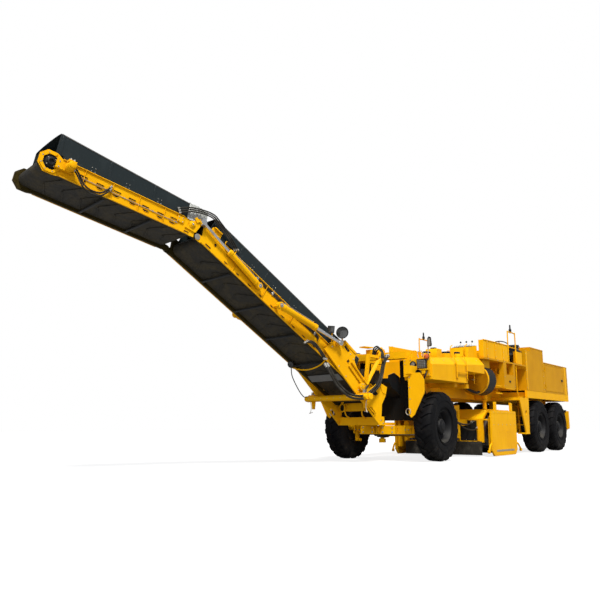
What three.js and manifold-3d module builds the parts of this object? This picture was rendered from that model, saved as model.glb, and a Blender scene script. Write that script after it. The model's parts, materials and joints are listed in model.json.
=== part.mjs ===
// Cold planer: a six-wheeled road milling machine with a slewing, folding discharge conveyor.
// Millimetres. While it is put together, +X is forward, +Y the machine's left and +Z up, with
// zero on the ground under the front axle. The last lines move zero to the middle of its base.
import * as THREE from "three";
import { mergeVertices } from "three/addons/utils/BufferGeometryUtils.js";
import Module from "manifold-3d";

const wasm = await Module();
wasm.setup();

// ---------------------------------------------------------------- driving dimensions
const SEAT_GAP = 0.3; // between pieces that rest on each other
const PIN_GAP = 0.3; // between a pin and what turns on it
const SIDES = { left: 1, right: -1 };

const OVERALL_WIDTH = 2490;
const TYRE_DIAMETER = 1370;
const TYRE_WIDTH = 392;
const RIM_DIAMETER = 620;
const WHEEL_TRACK = OVERALL_WIDTH - TYRE_WIDTH;
const WHEELBASE = 6050; // front axle to the first rear axle
const TANDEM_SPACING = 1664;
const KINGPIN_INSET = 290; // from the tyre's middle to the kingpin
const HUB_INSET = 60; // from the tyre's middle to the hub's inner face
const WHEEL_FACETS = 22;

const RAIL_INNER = 380;
const RAIL_WIDTH = 100;
const RAIL_BOTTOM = 1320;
const RAIL_TOP = 1590;
const FRAME_FRONT = 160;
const REAR_OVERHANG = 986; // last axle to the end of the frame
const FRAME_REAR = -WHEELBASE - TANDEM_SPACING - REAR_OVERHANG;

const TANK_FRONT = 520;
const TANK_REAR = -2150;
const TANK_INNER = 640;
const TANK_BOTTOM = 1590;
const TANK_SIDE_TOP = [1880, 2050]; // top of the upright side, front and rear
const TANK_TOP = [2020, 2230]; // top of the tank, front and rear
const TANK_CHAMFER = 150;

const DECK_TOP = 2240;
const DECK_THICKNESS = 40;
const PANEL_THICKNESS = 30;

const HOOD_REAR = FRAME_REAR - 80;
const HOOD_LENGTH = 3710;
const HOOD_FRONT = HOOD_REAR + HOOD_LENGTH;
const HOOD_TALL_FRONT = HOOD_FRONT - 420;
const HOOD_STEP = HOOD_REAR + 2220; // back of the tall part
const DECK_REAR = HOOD_FRONT + PANEL_THICKNESS;
const HOOD_BOTTOM = 1600;
const HOOD_TOP_FRONT = 2650;
const HOOD_TOP_TALL = 2770;
const HOOD_TOP_LOW = 2440;
const HOOD_WIDTH = 2420;
const SKIRT_BOTTOM = 1410;
const DOOR_FRONT = HOOD_STEP - 80;
const DOOR_REAR = HOOD_REAR + 450;
const DOOR_BOTTOM = 1640;
const DOOR_TOP = 2400;
const DOOR_GAP = 6;

const SLEW_X = 350; // slew axis of the discharge conveyor, ahead of the front axle
const SLEW_REST = THREE.MathUtils.degToRad(-11.7);
const NOSE_BOTTOM = 530;
const NOSE_TOP = 700;
const CROSS_BEAM_BOTTOM = 2040;
const CROSS_BEAM_TOP = 2180;

const LUFF_S = 1200; // luff hinge, ahead of the slew axis
const LUFF_Z = 1420;
const LOWER_PITCH = THREE.MathUtils.degToRad(31.9);
const UPPER_PITCH = THREE.MathUtils.degToRad(11.8);
const BOOM_HALF = 500; // half the width over the side frames
const BOOM_SIDE = 50; // thickness of a side frame
const LOWER_DEPTH = 300; // height of the lower section's side frames
const UPPER_DEPTH = 270;
const LOWER_EDGE = -75; // lower edge of the side frames, from the luff hinge
const LOWER_TAIL = -540;
const FOLD_U = 4330; // luff hinge to fold hinge, along the lower section
const FOLD_RISE = 40; // fold hinge above the lower edge
const UPPER_LENGTH = 2560;
const LOWER_COVER_SIDES = [252, 252]; // height of the cover's upright sides, rear and front
const UPPER_COVER_SIDES = [246, 362];
const COVER_ARCH = 36;
const COVER_SKIN = 10;
const BELT_SKIN = 16;
const BELT_HALF = BOOM_HALF - BOOM_SIDE - 25;

const YOKE_INNER = BOOM_HALF + 30; // inner faces of the slewing yoke's side plates
const YOKE_PLATE = 30;

const CUTTER_FRONT = -2420;
const CUTTER_REAR = -4020;
const DRUM_X = -3220;
const DRUM_RADIUS = 430;
const DRUM_Z = 560;
const PLATE_TOP = 1040;
const PLATE_BOTTOM = 22;
const PLATE_THICKNESS = 40;

// ---------------------------------------------------------------- materials
const paint = (name, color, roughness, metalness) =>
  Object.assign(new THREE.MeshStandardMaterial({ color, roughness, metalness }), { name });
const yellow = paint("yellow_paint", 0xf0b414, 0.45, 0.1);
const darkPaint = paint("dark_paint", 0x26282a, 0.5, 0.2);
const coverPaint = paint("cover_paint", 0x283030, 0.55, 0.2);
const rubber = paint("tyre_rubber", 0x141416, 0.85, 0);
const beltRubber = paint("belt_rubber", 0x282418, 0.85, 0);
const chrome = paint("chrome_rod", 0xd8dadc, 0.15, 1);
const steel = paint("worn_steel", 0x6a6660, 0.5, 0.8);
const seatVinyl = paint("seat_vinyl", 0x18181a, 0.6, 0);

// ---------------------------------------------------------------- making solids
function toSolid(geometry) {
  const bare = geometry.index ? geometry.toNonIndexed() : geometry.clone();
  bare.deleteAttribute("normal");
  bare.deleteAttribute("uv");
  const merged = mergeVertices(bare, 1e-3);
  const corners = merged.index.array;
  const kept = [];
  for (let i = 0; i < corners.length; i += 3) {
    const [a, b, c] = [corners[i], corners[i + 1], corners[i + 2]];
    if (a !== b && b !== c && c !== a) kept.push(a, b, c);
  }
  return new wasm.Manifold(new wasm.Mesh({
    numProp: 3,
    vertProperties: new Float32Array(merged.attributes.position.array),
    triVerts: new Uint32Array(kept),
  }));
}

function toGeometry(solid) {
  const mesh = solid.getMesh();
  const geometry = new THREE.BufferGeometry();
  geometry.setAttribute("position", new THREE.BufferAttribute(new Float32Array(mesh.vertProperties), 3));
  geometry.setIndex(new THREE.BufferAttribute(new Uint32Array(mesh.triVerts), 1));
  geometry.computeVertexNormals();
  return geometry;
}

const join = (...shapes) => shapes.flat().reduce((sum, shape) => sum.add(shape));
const cut = (shape, ...tools) => tools.flat().reduce((left, tool) => left.subtract(tool), shape);
const at = (geometry, x, y, z) => geometry.translate(x, y, z);

function box(x0, x1, y0, y1, z0, z1) {
  const geometry = new THREE.BoxGeometry(Math.abs(x1 - x0), Math.abs(y1 - y0), Math.abs(z1 - z0));
  return toSolid(at(geometry, (x0 + x1) / 2, (y0 + y1) / 2, (z0 + z1) / 2));
}

function outline(points, holes = []) {
  const shape = new THREE.Shape(points.map(([a, b]) => new THREE.Vector2(a, b)));
  for (const hole of holes) shape.holes.push(new THREE.Path(hole.map(([a, b]) => new THREE.Vector2(a, b))));
  return shape;
}

const extrude = (shape, depth, segments = 12) =>
  new THREE.ExtrudeGeometry(shape, { depth, bevelEnabled: false, curveSegments: segments });

// A side view, drawn as [x, z] points, given width from y0 to y1.
function sidePlate(points, y0, y1, holes = []) {
  const geometry = extrude(outline(points, holes), Math.abs(y1 - y0));
  geometry.rotateX(Math.PI / 2);
  return toSolid(at(geometry, 0, Math.max(y0, y1), 0));
}

// A front view, drawn as [y, z] points, given length from x0 to x1.
function frontGeometry(points, x0, x1, holes = []) {
  const geometry = extrude(outline(points, holes), Math.abs(x1 - x0));
  geometry.rotateX(Math.PI / 2);
  geometry.rotateZ(Math.PI / 2);
  return at(geometry, Math.min(x0, x1), 0, 0);
}

const frontPlate = (...view) => toSolid(frontGeometry(...view));

const point = (p) => new THREE.Vector3(...p);

function along(geometry, from, to) {
  const direction = point(to).sub(point(from)).normalize();
  geometry.applyQuaternion(new THREE.Quaternion().setFromUnitVectors(new THREE.Vector3(0, 1, 0), direction));
  const middle = point(from).add(point(to)).multiplyScalar(0.5);
  return at(geometry, middle.x, middle.y, middle.z);
}

function rod(from, to, radius, sides = 12) {
  const length = point(to).distanceTo(point(from));
  return toSolid(along(new THREE.CylinderGeometry(radius, radius, length, sides), from, to));
}

// Pins have more sides the thicker they are. A hole's flats, not its corners, stand off the pin.
const pinSides = (radius) => (radius > 30 ? 24 : 16);
const pin = (from, to, radius) => rod(from, to, radius, pinSides(radius));
const bore = (from, to, radius) =>
  rod(from, to, (radius + PIN_GAP) / Math.cos(Math.PI / pinSides(radius)), pinSides(radius));

// A square-section bar between two points.
function bar(from, to, width) {
  const length = point(to).distanceTo(point(from));
  const geometry = new THREE.CylinderGeometry(width * Math.SQRT1_2, width * Math.SQRT1_2, length, 4);
  geometry.rotateY(Math.PI / 4);
  return toSolid(along(geometry, from, to));
}

// A bent tube through the points, with short straight runs between rounded corners.
function bentTube(points, radius, bend = 60, sides = 6) {
  const path = new THREE.CurvePath();
  const corners = points.map(point);
  let start = corners[0];
  for (let i = 1; i < corners.length - 1; i += 1) {
    const before = corners[i].clone().lerp(corners[i - 1], bend / corners[i].distanceTo(corners[i - 1]));
    const after = corners[i].clone().lerp(corners[i + 1], bend / corners[i].distanceTo(corners[i + 1]));
    path.add(new THREE.LineCurve3(start, before));
    path.add(new THREE.QuadraticBezierCurve3(before, corners[i], after));
    start = after;
  }
  path.add(new THREE.LineCurve3(start, corners.at(-1)));
  const ring = Array.from({ length: sides }, (_, i) => {
    const angle = (2 * Math.PI * i) / sides;
    return [radius * Math.cos(angle), radius * Math.sin(angle)];
  });
  const steps = 4 * (points.length - 1);
  return toSolid(new THREE.ExtrudeGeometry(outline(ring), { steps, bevelEnabled: false, extrudePath: path }));
}

function placed(name, solid, material, parent) {
  const mesh = new THREE.Mesh(toGeometry(solid), material);
  mesh.name = name;
  parent.add(mesh);
  return mesh;
}

// ---------------------------------------------------------------- wheels
const TYRE_RADIUS = TYRE_DIAMETER / 2;
const RIM_RADIUS = RIM_DIAMETER / 2;
const AXLE_Z = TYRE_RADIUS;
const REAR_AXLES = [-WHEELBASE, -WHEELBASE - TANDEM_SPACING];

// Revolved about its axle along Y; the outer side of the wheel is at +Y.
function wheelSolid() {
  const half = TYRE_WIDTH / 2;
  const profile = [
    [0, -HUB_INSET], [140, -HUB_INSET], [150, 20], [RIM_RADIUS - 25, 30],
    [RIM_RADIUS - 25, -half + 36], [RIM_RADIUS + 60, -half + 6], [TYRE_RADIUS - 130, -half],
    [TYRE_RADIUS - 20, -half + 34], [TYRE_RADIUS, -half + 80], [TYRE_RADIUS, half - 80],
    [TYRE_RADIUS - 20, half - 34], [TYRE_RADIUS - 130, half], [RIM_RADIUS + 60, half - 6],
    [RIM_RADIUS - 25, half - 36], [RIM_RADIUS - 40, 70], [170, 60], [130, 130], [0, 140],
  ];
  return toSolid(new THREE.LatheGeometry(profile.map(([r, y]) => new THREE.Vector2(r, y)), WHEEL_FACETS));
}

function addWheels(parent) {
  const solid = wheelSolid();
  const axles = { front: 0, middle: REAR_AXLES[0], rear: REAR_AXLES[1] };
  for (const [axle, x] of Object.entries(axles)) {
    for (const [side, sign] of Object.entries(SIDES)) {
      const wheel = placed(`${axle}_${side}_wheel`, solid, rubber, parent);
      wheel.position.set(x, (sign * WHEEL_TRACK) / 2, AXLE_Z);
      wheel.rotation.z = sign > 0 ? 0 : Math.PI;
    }
  }
}

// ---------------------------------------------------------------- axles and steering
const KINGPIN_Y = WHEEL_TRACK / 2 - KINGPIN_INSET;
const KINGPIN_RADIUS = 75;
const BOSS_HALF = 110;
const EAR = 40;
const AXLE_HALF_DEPTH = 110;
const HUB_FACE = WHEEL_TRACK / 2 - HUB_INSET;
const STEER_ARM = 190;
const TIE_Z = AXLE_Z - BOSS_HALF - PIN_GAP - EAR / 2;

function frontAxle() {
  const end = KINGPIN_Y - 160; // leaves room for the steering arms
  const parts = [box(-AXLE_HALF_DEPTH, AXLE_HALF_DEPTH, -end, end, NOSE_BOTTOM, NOSE_TOP)];
  for (const sign of Object.values(SIDES)) {
    parts.push(box(-KINGPIN_RADIUS, KINGPIN_RADIUS, sign * (end - 10), sign * KINGPIN_Y, AXLE_Z - BOSS_HALF, NOSE_TOP));
    parts.push(rod([0, sign * KINGPIN_Y, AXLE_Z - BOSS_HALF], [0, sign * KINGPIN_Y, AXLE_Z + BOSS_HALF], KINGPIN_RADIUS));
  }
  return join(parts);
}

function knuckle(sign) {
  const y = sign * KINGPIN_Y;
  const post = sign * (WHEEL_TRACK / 2 - TYRE_WIDTH / 2);
  const top = AXLE_Z + BOSS_HALF + PIN_GAP;
  const bottom = AXLE_Z - BOSS_HALF - PIN_GAP;
  const armEnd = sign * (KINGPIN_Y - 40);
  return join(
    rod([0, y, top], [0, y, top + EAR], KINGPIN_RADIUS),
    rod([0, y, bottom - EAR], [0, y, bottom], KINGPIN_RADIUS),
    box(-60, 60, y, post + sign * 20, top, top + EAR),
    box(-60, 60, y, post + sign * 20, bottom - EAR, bottom),
    box(-60, 60, post - sign * 12, post + sign * 20, bottom - EAR, top + EAR),
    rod([0, post, AXLE_Z], [0, sign * (HUB_FACE - PIN_GAP), AXLE_Z], 90),
    sidePlate([[-STEER_ARM - 25, TIE_Z - 15], [0, TIE_Z - 15], [0, TIE_Z + 15], [-STEER_ARM - 25, TIE_Z + 15]],
      armEnd - 25, armEnd + 25),
    box(60, 130, y - 30, y + 30, bottom - 190, bottom),
    box(0, 130, y - 30, y + 30, bottom - EAR, bottom),
    rod([95, y - sign * 90, bottom - 165], [95, y + sign * 30, bottom - 165], 34, 12),
  );
}

function tieRod() {
  const end = KINGPIN_Y - 40;
  const z = TIE_Z - 15 - PIN_GAP;
  return join(
    box(-STEER_ARM - 18, -STEER_ARM + 18, -end - 20, end + 20, z - 36, z),
  );
}

function rearTandem() {
  const middle = -WHEELBASE - TANDEM_SPACING / 2;
  const reach = TANDEM_SPACING / 2;
  const parts = [rod([middle, -690, 900], [middle, 690, 900], 80)];
  for (const x of REAR_AXLES) {
    parts.push(rod([x, -HUB_FACE + PIN_GAP, AXLE_Z], [x, HUB_FACE - PIN_GAP, AXLE_Z], 95));
    parts.push(rod([x, -170, AXLE_Z], [x, 170, AXLE_Z], 190));
  }
  const beam = [[middle - reach - 130, AXLE_Z - 90], [middle + reach + 130, AXLE_Z - 90],
    [middle + reach + 130, AXLE_Z + 90], [middle + 200, 985], [middle - 200, 985], [middle - reach - 130, AXLE_Z + 90]];
  for (const sign of Object.values(SIDES)) parts.push(sidePlate(beam, sign * 560, sign * 690));
  return join(parts);
}

// ---------------------------------------------------------------- chassis
const RAIL_OUTER = RAIL_INNER + RAIL_WIDTH;
const HOOD_HALF = HOOD_WIDTH / 2;

function mainFrame() {
  const parts = [];
  const middle = -WHEELBASE - TANDEM_SPACING / 2;
  for (const sign of Object.values(SIDES)) {
    const inner = sign * RAIL_INNER;
    const outer = sign * RAIL_OUTER;
    parts.push(box(FRAME_REAR, FRAME_FRONT, inner, outer, RAIL_BOTTOM, RAIL_TOP));
    parts.push(box(-AXLE_HALF_DEPTH, AXLE_HALF_DEPTH, inner, outer, NOSE_TOP + SEAT_GAP, RAIL_BOTTOM + 5));
    parts.push(box(middle - 150, middle + 150, inner, outer, 980 + SEAT_GAP, RAIL_BOTTOM + 5));
    for (const x of [-1500, -880]) {
      parts.push(box(x - 60, x + 60, inner, sign * 1100, TANK_BOTTOM - 90, TANK_BOTTOM - SEAT_GAP));
    }
    const hanger = [LINK_FRONT - 120, LINK_FRONT + 20];
    parts.push(box(...hanger, sign * (LINK_Y + 56), sign * (LINK_Y + 86), LOWER_LINK_Z - 70, RAIL_BOTTOM + 60));
    parts.push(box(...hanger, sign * (RAIL_OUTER - 10), sign * (LINK_Y + 86), RAIL_BOTTOM, RAIL_BOTTOM + 60));
    for (const z of [UPPER_LINK_Z, LOWER_LINK_Z]) {
      parts.push(pin([LINK_FRONT - 60, sign * (LINK_Y - 50), z], [LINK_FRONT - 60, sign * (LINK_Y + 60), z], PIN_RADIUS));
    }
    for (const x of [TANK_REAR - 200, DECK_REAR + 140]) {
      parts.push(box(x - 60, x + 60, inner, outer, RAIL_TOP - 5, DECK_TOP - DECK_THICKNESS - SEAT_GAP));
    }
    parts.push(box(HOOD_REAR, HOOD_FRONT, sign * (HOOD_HALF - 60), sign * HOOD_HALF, SKIRT_BOTTOM, HOOD_BOTTOM - SEAT_GAP));
    for (const x of [HOOD_FRONT - 130, middle, HOOD_REAR + 140]) {
      parts.push(box(x - 60, x + 60, inner, sign * (HOOD_HALF - 30), SKIRT_BOTTOM, HOOD_BOTTOM - 40));
    }
  }
  for (const x of [TANK_REAR - 200, HOOD_FRONT - 130, middle, FRAME_REAR + 100]) {
    parts.push(box(x - 60, x + 60, -RAIL_INNER - 5, RAIL_INNER + 5, RAIL_BOTTOM + 60, RAIL_TOP - 60));
  }
  return join(parts);
}

// The bottom bearing of the slewing yoke, ahead of the front axle.
function noseFrame() {
  const rear = AXLE_HALF_DEPTH + SEAT_GAP;
  return cut(join(
    box(rear, 540, -400, 400, NOSE_BOTTOM, NOSE_TOP),
    box(rear + 90, rear + 330, 390, 575, NOSE_BOTTOM, NOSE_TOP),
    rod([SLEW_X, 0, NOSE_BOTTOM - 35], [SLEW_X, 0, NOSE_BOTTOM + 5], 160, 16),
    rod([SLEW_X, 0, NOSE_BOTTOM - 100], [SLEW_X, 0, NOSE_BOTTOM - 30], 40, 12),
    rod([SLEW_X, 0, NOSE_BOTTOM - 170], [SLEW_X, 0, NOSE_BOTTOM - 90], 70),
  ), bore([SLEW_X, 0, NOSE_TOP - 120], [SLEW_X, 0, NOSE_TOP + 10], 60));
}

function crossBeam() {
  const reach = TANK_INNER - SEAT_GAP;
  return cut(
    box(SLEW_X - 120, SLEW_X + 90, -reach, reach, CROSS_BEAM_BOTTOM, CROSS_BEAM_TOP),
    bore([SLEW_X, 0, CROSS_BEAM_BOTTOM - 10], [SLEW_X, 0, CROSS_BEAM_TOP + 10], 45),
  );
}

// The left tank's rear end is cut away low down, ahead of the air cleaner.
const NOTCH_FRONT = TANK_REAR + 970;
const NOTCH_INNER = 760;
const NOTCH_TOP = 1850;

function sideTank(sign) {
  const outer = OVERALL_WIDTH / 2;
  const rows = [[TANK_FRONT, 0], [TANK_REAR, 1]];
  const corners = [];
  for (const [x, end] of rows) {
    corners.push(
      [x, sign * TANK_INNER, TANK_BOTTOM], [x, sign * outer, TANK_BOTTOM],
      [x, sign * outer, TANK_SIDE_TOP[end]], [x, sign * (outer - TANK_CHAMFER), TANK_TOP[end]],
      [x, sign * TANK_INNER, TANK_TOP[end]],
    );
  }
  const quads = [];
  for (let i = 0; i < 5; i += 1) {
    const j = (i + 1) % 5;
    quads.push([i, j, j + 5], [i, j + 5, i + 5]);
  }
  for (const [i, j] of [[1, 2], [2, 3], [3, 4]]) quads.push([0, j, i], [5, i + 5, j + 5]);
  const facing = sign < 0 ? quads : quads.map(([a, b, c]) => [a, c, b]);
  const solid = new wasm.Manifold(new wasm.Mesh({
    numProp: 3,
    vertProperties: new Float32Array(corners.flat()),
    triVerts: new Uint32Array(facing.flat()),
  }));
  const edge = TANK_SIDE_TOP[0] - 20;
  const rib = sidePlate([[TANK_FRONT, edge], [TANK_REAR, edge + 170], [TANK_REAR, edge + 190], [TANK_FRONT, edge + 20]],
    sign * (outer - 40), sign * outer);
  if (sign < 0) return join(solid, rib);
  return cut(join(solid, rib), box(TANK_REAR - 10, NOTCH_FRONT, NOTCH_INNER, outer + 10, TANK_BOTTOM - 10, NOTCH_TOP));
}

const LAMP_FRONT = TANK_FRONT + SEAT_GAP;
const LEG_X = 850;
const LEG = [[897, 1700], [897, 895], [942, 849], [1013, 898], [1183, 1222], [1235, 1320], [1235, 1560], [1150, 1700]];

// Headlamp housing on the front of a tank, and the guard leg that hangs ahead of the tyre.
function lampBracket(sign) {
  const face = LAMP_FRONT + 40;
  return join(
    box(LAMP_FRONT, face, sign * TANK_INNER, sign * 1215, 1650, 2000),
    box(face - 5, face + 60, sign * 960, sign * 1130, 1840, 1960),
    box(face - 5, face + 90, sign * 1000, sign * 1160, 1690, 1760),
    box(face - 5, LEG_X + 60, sign * 840, sign * 980, 1680, 1840),
    frontPlate(LEG.map(([y, z]) => [sign * y, z]), LEG_X, LEG_X + 20),
  );
}

function deck() {
  const under = DECK_TOP - DECK_THICKNESS;
  const half = OVERALL_WIDTH / 2;
  const front = TANK_REAR - SEAT_GAP;
  const parts = [
    box(DECK_REAR, front, -half, half, under, DECK_TOP),
  ];
  for (const sign of Object.values(SIDES)) {
    parts.push(box(-4150, -3370, sign * (half - 420), sign * half, 1590, 1920));
    parts.push(box(-3560, -3370, sign * (half - 120), sign * half, 1900, under + 5));
    parts.push(box(-4150, -4030, sign * (half - 120), sign * half, 1900, under + 5));
  }
  return join(parts);
}

const RAIL_RETURN = 110; // the tall side panels' short ends across the deck
const TOE_BOARD_TOP = 2350;
const BACK_BOARD_TOP = 2540;

// A low board across the front, a higher one behind, and tall panels at both sides.
function operatorRail() {
  const half = OVERALL_WIDTH / 2 - 20;
  const [front, rear, bottom, top] = [-2190, -3760, DECK_TOP + SEAT_GAP, 2640];
  const room = half - PANEL_THICKNESS;
  return cut(
    box(rear, front, -half, half, bottom, top),
    box(rear + PANEL_THICKNESS, front - PANEL_THICKNESS, -room, room, bottom - 10, top + 10),
    box(front - PANEL_THICKNESS - 10, front + 10, -half + RAIL_RETURN, half - RAIL_RETURN, TOE_BOARD_TOP, top + 10),
    box(rear - 10, rear + PANEL_THICKNESS + 10, -half + RAIL_RETURN, half - RAIL_RETURN, BACK_BOARD_TOP, top + 10),
  );
}

const tankTop = (x) => TANK_TOP[0] + ((TANK_TOP[1] - TANK_TOP[0]) * (x - TANK_FRONT)) / (TANK_REAR - TANK_FRONT);

function controlConsole() {
  const [front, rear] = [-1620, TANK_REAR + 10];
  const foot = (x) => [x, tankTop(x) + SEAT_GAP];
  return sidePlate([foot(rear), foot(front), [front - 60, 2430], [rear, 2500]],
    TANK_INNER + 5, OVERALL_WIDTH / 2 - TANK_CHAMFER - 5);
}

function operatorSeat() {
  const [x, y, z] = [DECK_REAR + 340, 880, DECK_TOP + SEAT_GAP];
  return join(
    box(x - 120, x + 120, y - 120, y + 120, z, z + 180),
    sidePlate([[x - 260, z + 170], [x + 260, z + 170], [x + 270, z + 270], [x - 140, z + 270],
      [x - 220, z + 560], [x - 330, z + 560]], y - 240, y + 240),
  );
}

function hoodProfile(inset) {
  const [front, rear, bottom] = [HOOD_FRONT - inset, HOOD_REAR + inset, HOOD_BOTTOM];
  return [
    [front, bottom], [front, HOOD_TOP_FRONT - inset], [HOOD_TALL_FRONT + inset * 0, HOOD_TOP_FRONT - inset],
    [HOOD_TALL_FRONT - inset, HOOD_TOP_TALL - inset], [HOOD_STEP + inset, HOOD_TOP_TALL - inset],
    [HOOD_STEP + inset, HOOD_TOP_LOW - inset], [rear, HOOD_TOP_LOW - inset], [rear, bottom],
  ];
}

// Hinge barrels stand outside the panels, so that a door swings clear of its frame.
const HINGE_X = DOOR_FRONT + DOOR_GAP / 2;
const HINGE_Y = HOOD_HALF + 13;
const HINGE_HEIGHTS = [1760, 2240];
const HINGE_LENGTH = 60;

function hingeHalf(sign, z0, z1, toX) {
  return [
    rod([HINGE_X, sign * HINGE_Y, z0], [HINGE_X, sign * HINGE_Y, z1], 10, 8),
    box(Math.min(HINGE_X, toX), Math.max(HINGE_X, toX), sign * (HOOD_HALF - 3), sign * (HOOD_HALF + 10), z0, z1),
  ];
}

function engineHood() {
  const wall = PANEL_THICKNESS;
  const inside = hoodProfile(wall).map(([x, z]) => [x, z === HOOD_BOTTOM ? z - 50 : z]);
  const shell = cut(
    sidePlate(hoodProfile(0), -HOOD_HALF, HOOD_HALF),
    sidePlate(inside, -HOOD_HALF + wall, HOOD_HALF - wall),
  );
  const open = cut(
    shell,
    box(DOOR_REAR - DOOR_GAP, DOOR_FRONT + DOOR_GAP, -HOOD_HALF - 50, HOOD_HALF + 50,
      DOOR_BOTTOM - DOOR_GAP, DOOR_TOP + DOOR_GAP),
    box(HOOD_REAR - 50, HOOD_REAR + 60, -800, 800, 1720, 2320),
  );
  const leaves = Object.values(SIDES).flatMap((sign) =>
    HINGE_HEIGHTS.map((z) => hingeHalf(sign, z - HINGE_LENGTH, z, HINGE_X + 80)));
  return join(open, ...leaves);
}

function engineDoor(sign) {
  const panel = box(DOOR_REAR, DOOR_FRONT, sign * (HOOD_HALF - PANEL_THICKNESS), sign * HOOD_HALF, DOOR_BOTTOM, DOOR_TOP);
  const leaves = HINGE_HEIGHTS.map((z) => hingeHalf(sign, z + PIN_GAP, z + HINGE_LENGTH, HINGE_X - 80));
  return join(panel, ...leaves);
}

const engineBlock = () => box(HOOD_REAR + 880, HOOD_REAR + 2880, -RAIL_OUTER, RAIL_OUTER, RAIL_TOP + SEAT_GAP, 2280);

function radiator() {
  const rear = HOOD_REAR + PANEL_THICKNESS + SEAT_GAP;
  return box(rear, rear + 160, -860, 860, RAIL_TOP + SEAT_GAP, 2380);
}

function rearBumper() {
  const rear = FRAME_REAR - SEAT_GAP;
  return join(
    box(rear - 30, rear, -RAIL_OUTER - 60, RAIL_OUTER + 60, 900, RAIL_TOP),
    frontPlate([[-1180, 1130], [-1180, 620], [-900, 480], [900, 480], [1180, 620], [1180, 1130]], rear - 130, rear - 25),
  );
}

function handrails(sign) {
  const outer = sign * (OVERALL_WIDTH / 2 + 30);
  const wall = sign * (OVERALL_WIDTH / 2 + 12);
  const parts = [];
  for (const x of [-580, -1100]) {
    parts.push(bentTube([[x, wall, 1960], [x, outer, 1960], [x, outer, 1670], [x - 60, wall, 1670]], 12, 25));
  }
  parts.push(bar([-580, outer, 1800], [-1100, outer, 1800], 20));
  return join(parts);
}

function stepBracket(sign) {
  const rear = DECK_REAR - 20;
  const front = rear + 660;
  const outer = sign * (OVERALL_WIDTH / 2 - 5);
  const inner = outer - sign * 30;
  const hole = Array.from({ length: 12 }, (_, i) => [rear + 240 + 60 * Math.cos(i * Math.PI / 6), 1030 + 60 * Math.sin(i * Math.PI / 6)]);
  return join(
    sidePlate([[front, 1400], [front, 1330], [rear + 300, 520], [rear + 60, 520], [rear, 1400]], inner, outer, [hole]),
    box(rear + 40, rear + 320, inner - sign * 190, outer, 490, 525),
    box(rear, front, sign * (RAIL_OUTER + SEAT_GAP), outer, RAIL_BOTTOM + 10, 1400),
  );
}

// The round air cleaner under the left of the deck, with its inlet band.
const FILTER_RADIUS = 345;
const FILTER_LENGTH = 500;
const FILTER_Y = OVERALL_WIDTH / 2 - FILTER_RADIUS - 5;
const FILTER_Z = 1745;
const FILTER_FRONT = TANK_REAR - 210;

function filterDrum() {
  const rear = FILTER_FRONT - FILTER_LENGTH;
  return join(
    rod([rear, FILTER_Y, FILTER_Z], [FILTER_FRONT, FILTER_Y, FILTER_Z], FILTER_RADIUS, 32),
    box(rear + 20, FILTER_FRONT - 20, FILTER_Y - 205, FILTER_Y + 205, FILTER_Z + 240, DECK_TOP - DECK_THICKNESS - SEAT_GAP),
  );
}

// ---------------------------------------------------------------- cutter unit
const LIFT_X = -3430;
const LIFT_Y = 700;
const LIFT_ROD = 45;
const LIFT_TOP = 2180;
const UPPER_LINK_Z = 1080;
const LOWER_LINK_Z = 500;
const LINK_FRONT = -740;
const LINK_REAR = -1900;
const LINK_Y = 560;

function cutterHousing() {
  const half = OVERALL_WIDTH / 2 - PLATE_THICKNESS - 10;
  const room = 1010;
  const guide = OVERALL_WIDTH / 2 - PLATE_THICKNESS - PIN_GAP;
  const profile = [[-2480, 320], [-2480, 860], [-2760, 1060], [-3660, 1060], [-3960, 860], [-3960, 220],
    [-3900, 220], [-3900, 820], [-3640, 1000], [-2780, 1000], [-2540, 820], [-2540, 320]];
  const parts = [sidePlate(profile, -room, room)];
  for (const sign of Object.values(SIDES)) {
    parts.push(sidePlate([[-2480, 200], [-2480, 860], [-2760, 1060], [-3660, 1060], [-3960, 860], [-3960, 200]],
      sign * (half - 60), sign * half));
    parts.push(box(-2480, -3960, sign * (room - 5), sign * (half - 55), 820, 850));
    parts.push(rod([LIFT_X, sign * LIFT_Y, 1050], [LIFT_X, sign * LIFT_Y, 1750], LIFT_ROD));
    for (const x of [-2710, -3730]) parts.push(box(x - 40, x + 40, sign * (half - 10), sign * guide, 300, 900));
    parts.push(box(-2490, LINK_REAR - 90, sign * 500, sign * 640, 700, 840));
    parts.push(box(LINK_REAR - 160, LINK_REAR - 70, sign * 500, sign * 640, LOWER_LINK_Z - 80, UPPER_LINK_Z + 80));
    for (const z of [UPPER_LINK_Z, LOWER_LINK_Z]) {
      parts.push(box(LINK_REAR - 80, LINK_REAR + 110, sign * (LINK_Y + 56), sign * (LINK_Y + 80), z - 60, z + 60));
    }
  }
  const shell = join(parts);
  return cut(shell, box(-2700, -2300, -360, 360, 500, 1100));
}

function cutterDrum() {
  const half = 960;
  const shaft = OVERALL_WIDTH / 2 - PLATE_THICKNESS - 70 - PIN_GAP;
  return rod([DRUM_X, -half, DRUM_Z], [DRUM_X, half, DRUM_Z], DRUM_RADIUS, 24)
    .add(rod([DRUM_X, -shaft, DRUM_Z], [DRUM_X, shaft, DRUM_Z], 70));
}

function sideShield(sign) {
  const outer = sign * (OVERALL_WIDTH / 2);
  const inner = sign * (OVERALL_WIDTH / 2 - PLATE_THICKNESS);
  return join(
    sidePlate([[CUTTER_FRONT, PLATE_TOP], [CUTTER_FRONT, PLATE_BOTTOM + 120], [CUTTER_FRONT - 120, PLATE_BOTTOM],
      [CUTTER_REAR + 120, PLATE_BOTTOM], [CUTTER_REAR, PLATE_BOTTOM + 120], [CUTTER_REAR, PLATE_TOP]], inner, outer),
    box(-2760, -2660, inner, outer, PLATE_TOP - 10, 1240),
    box(-3780, -3680, inner, outer, PLATE_TOP - 10, 1240),
  );
}

const LINK_EYE = 60;

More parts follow.
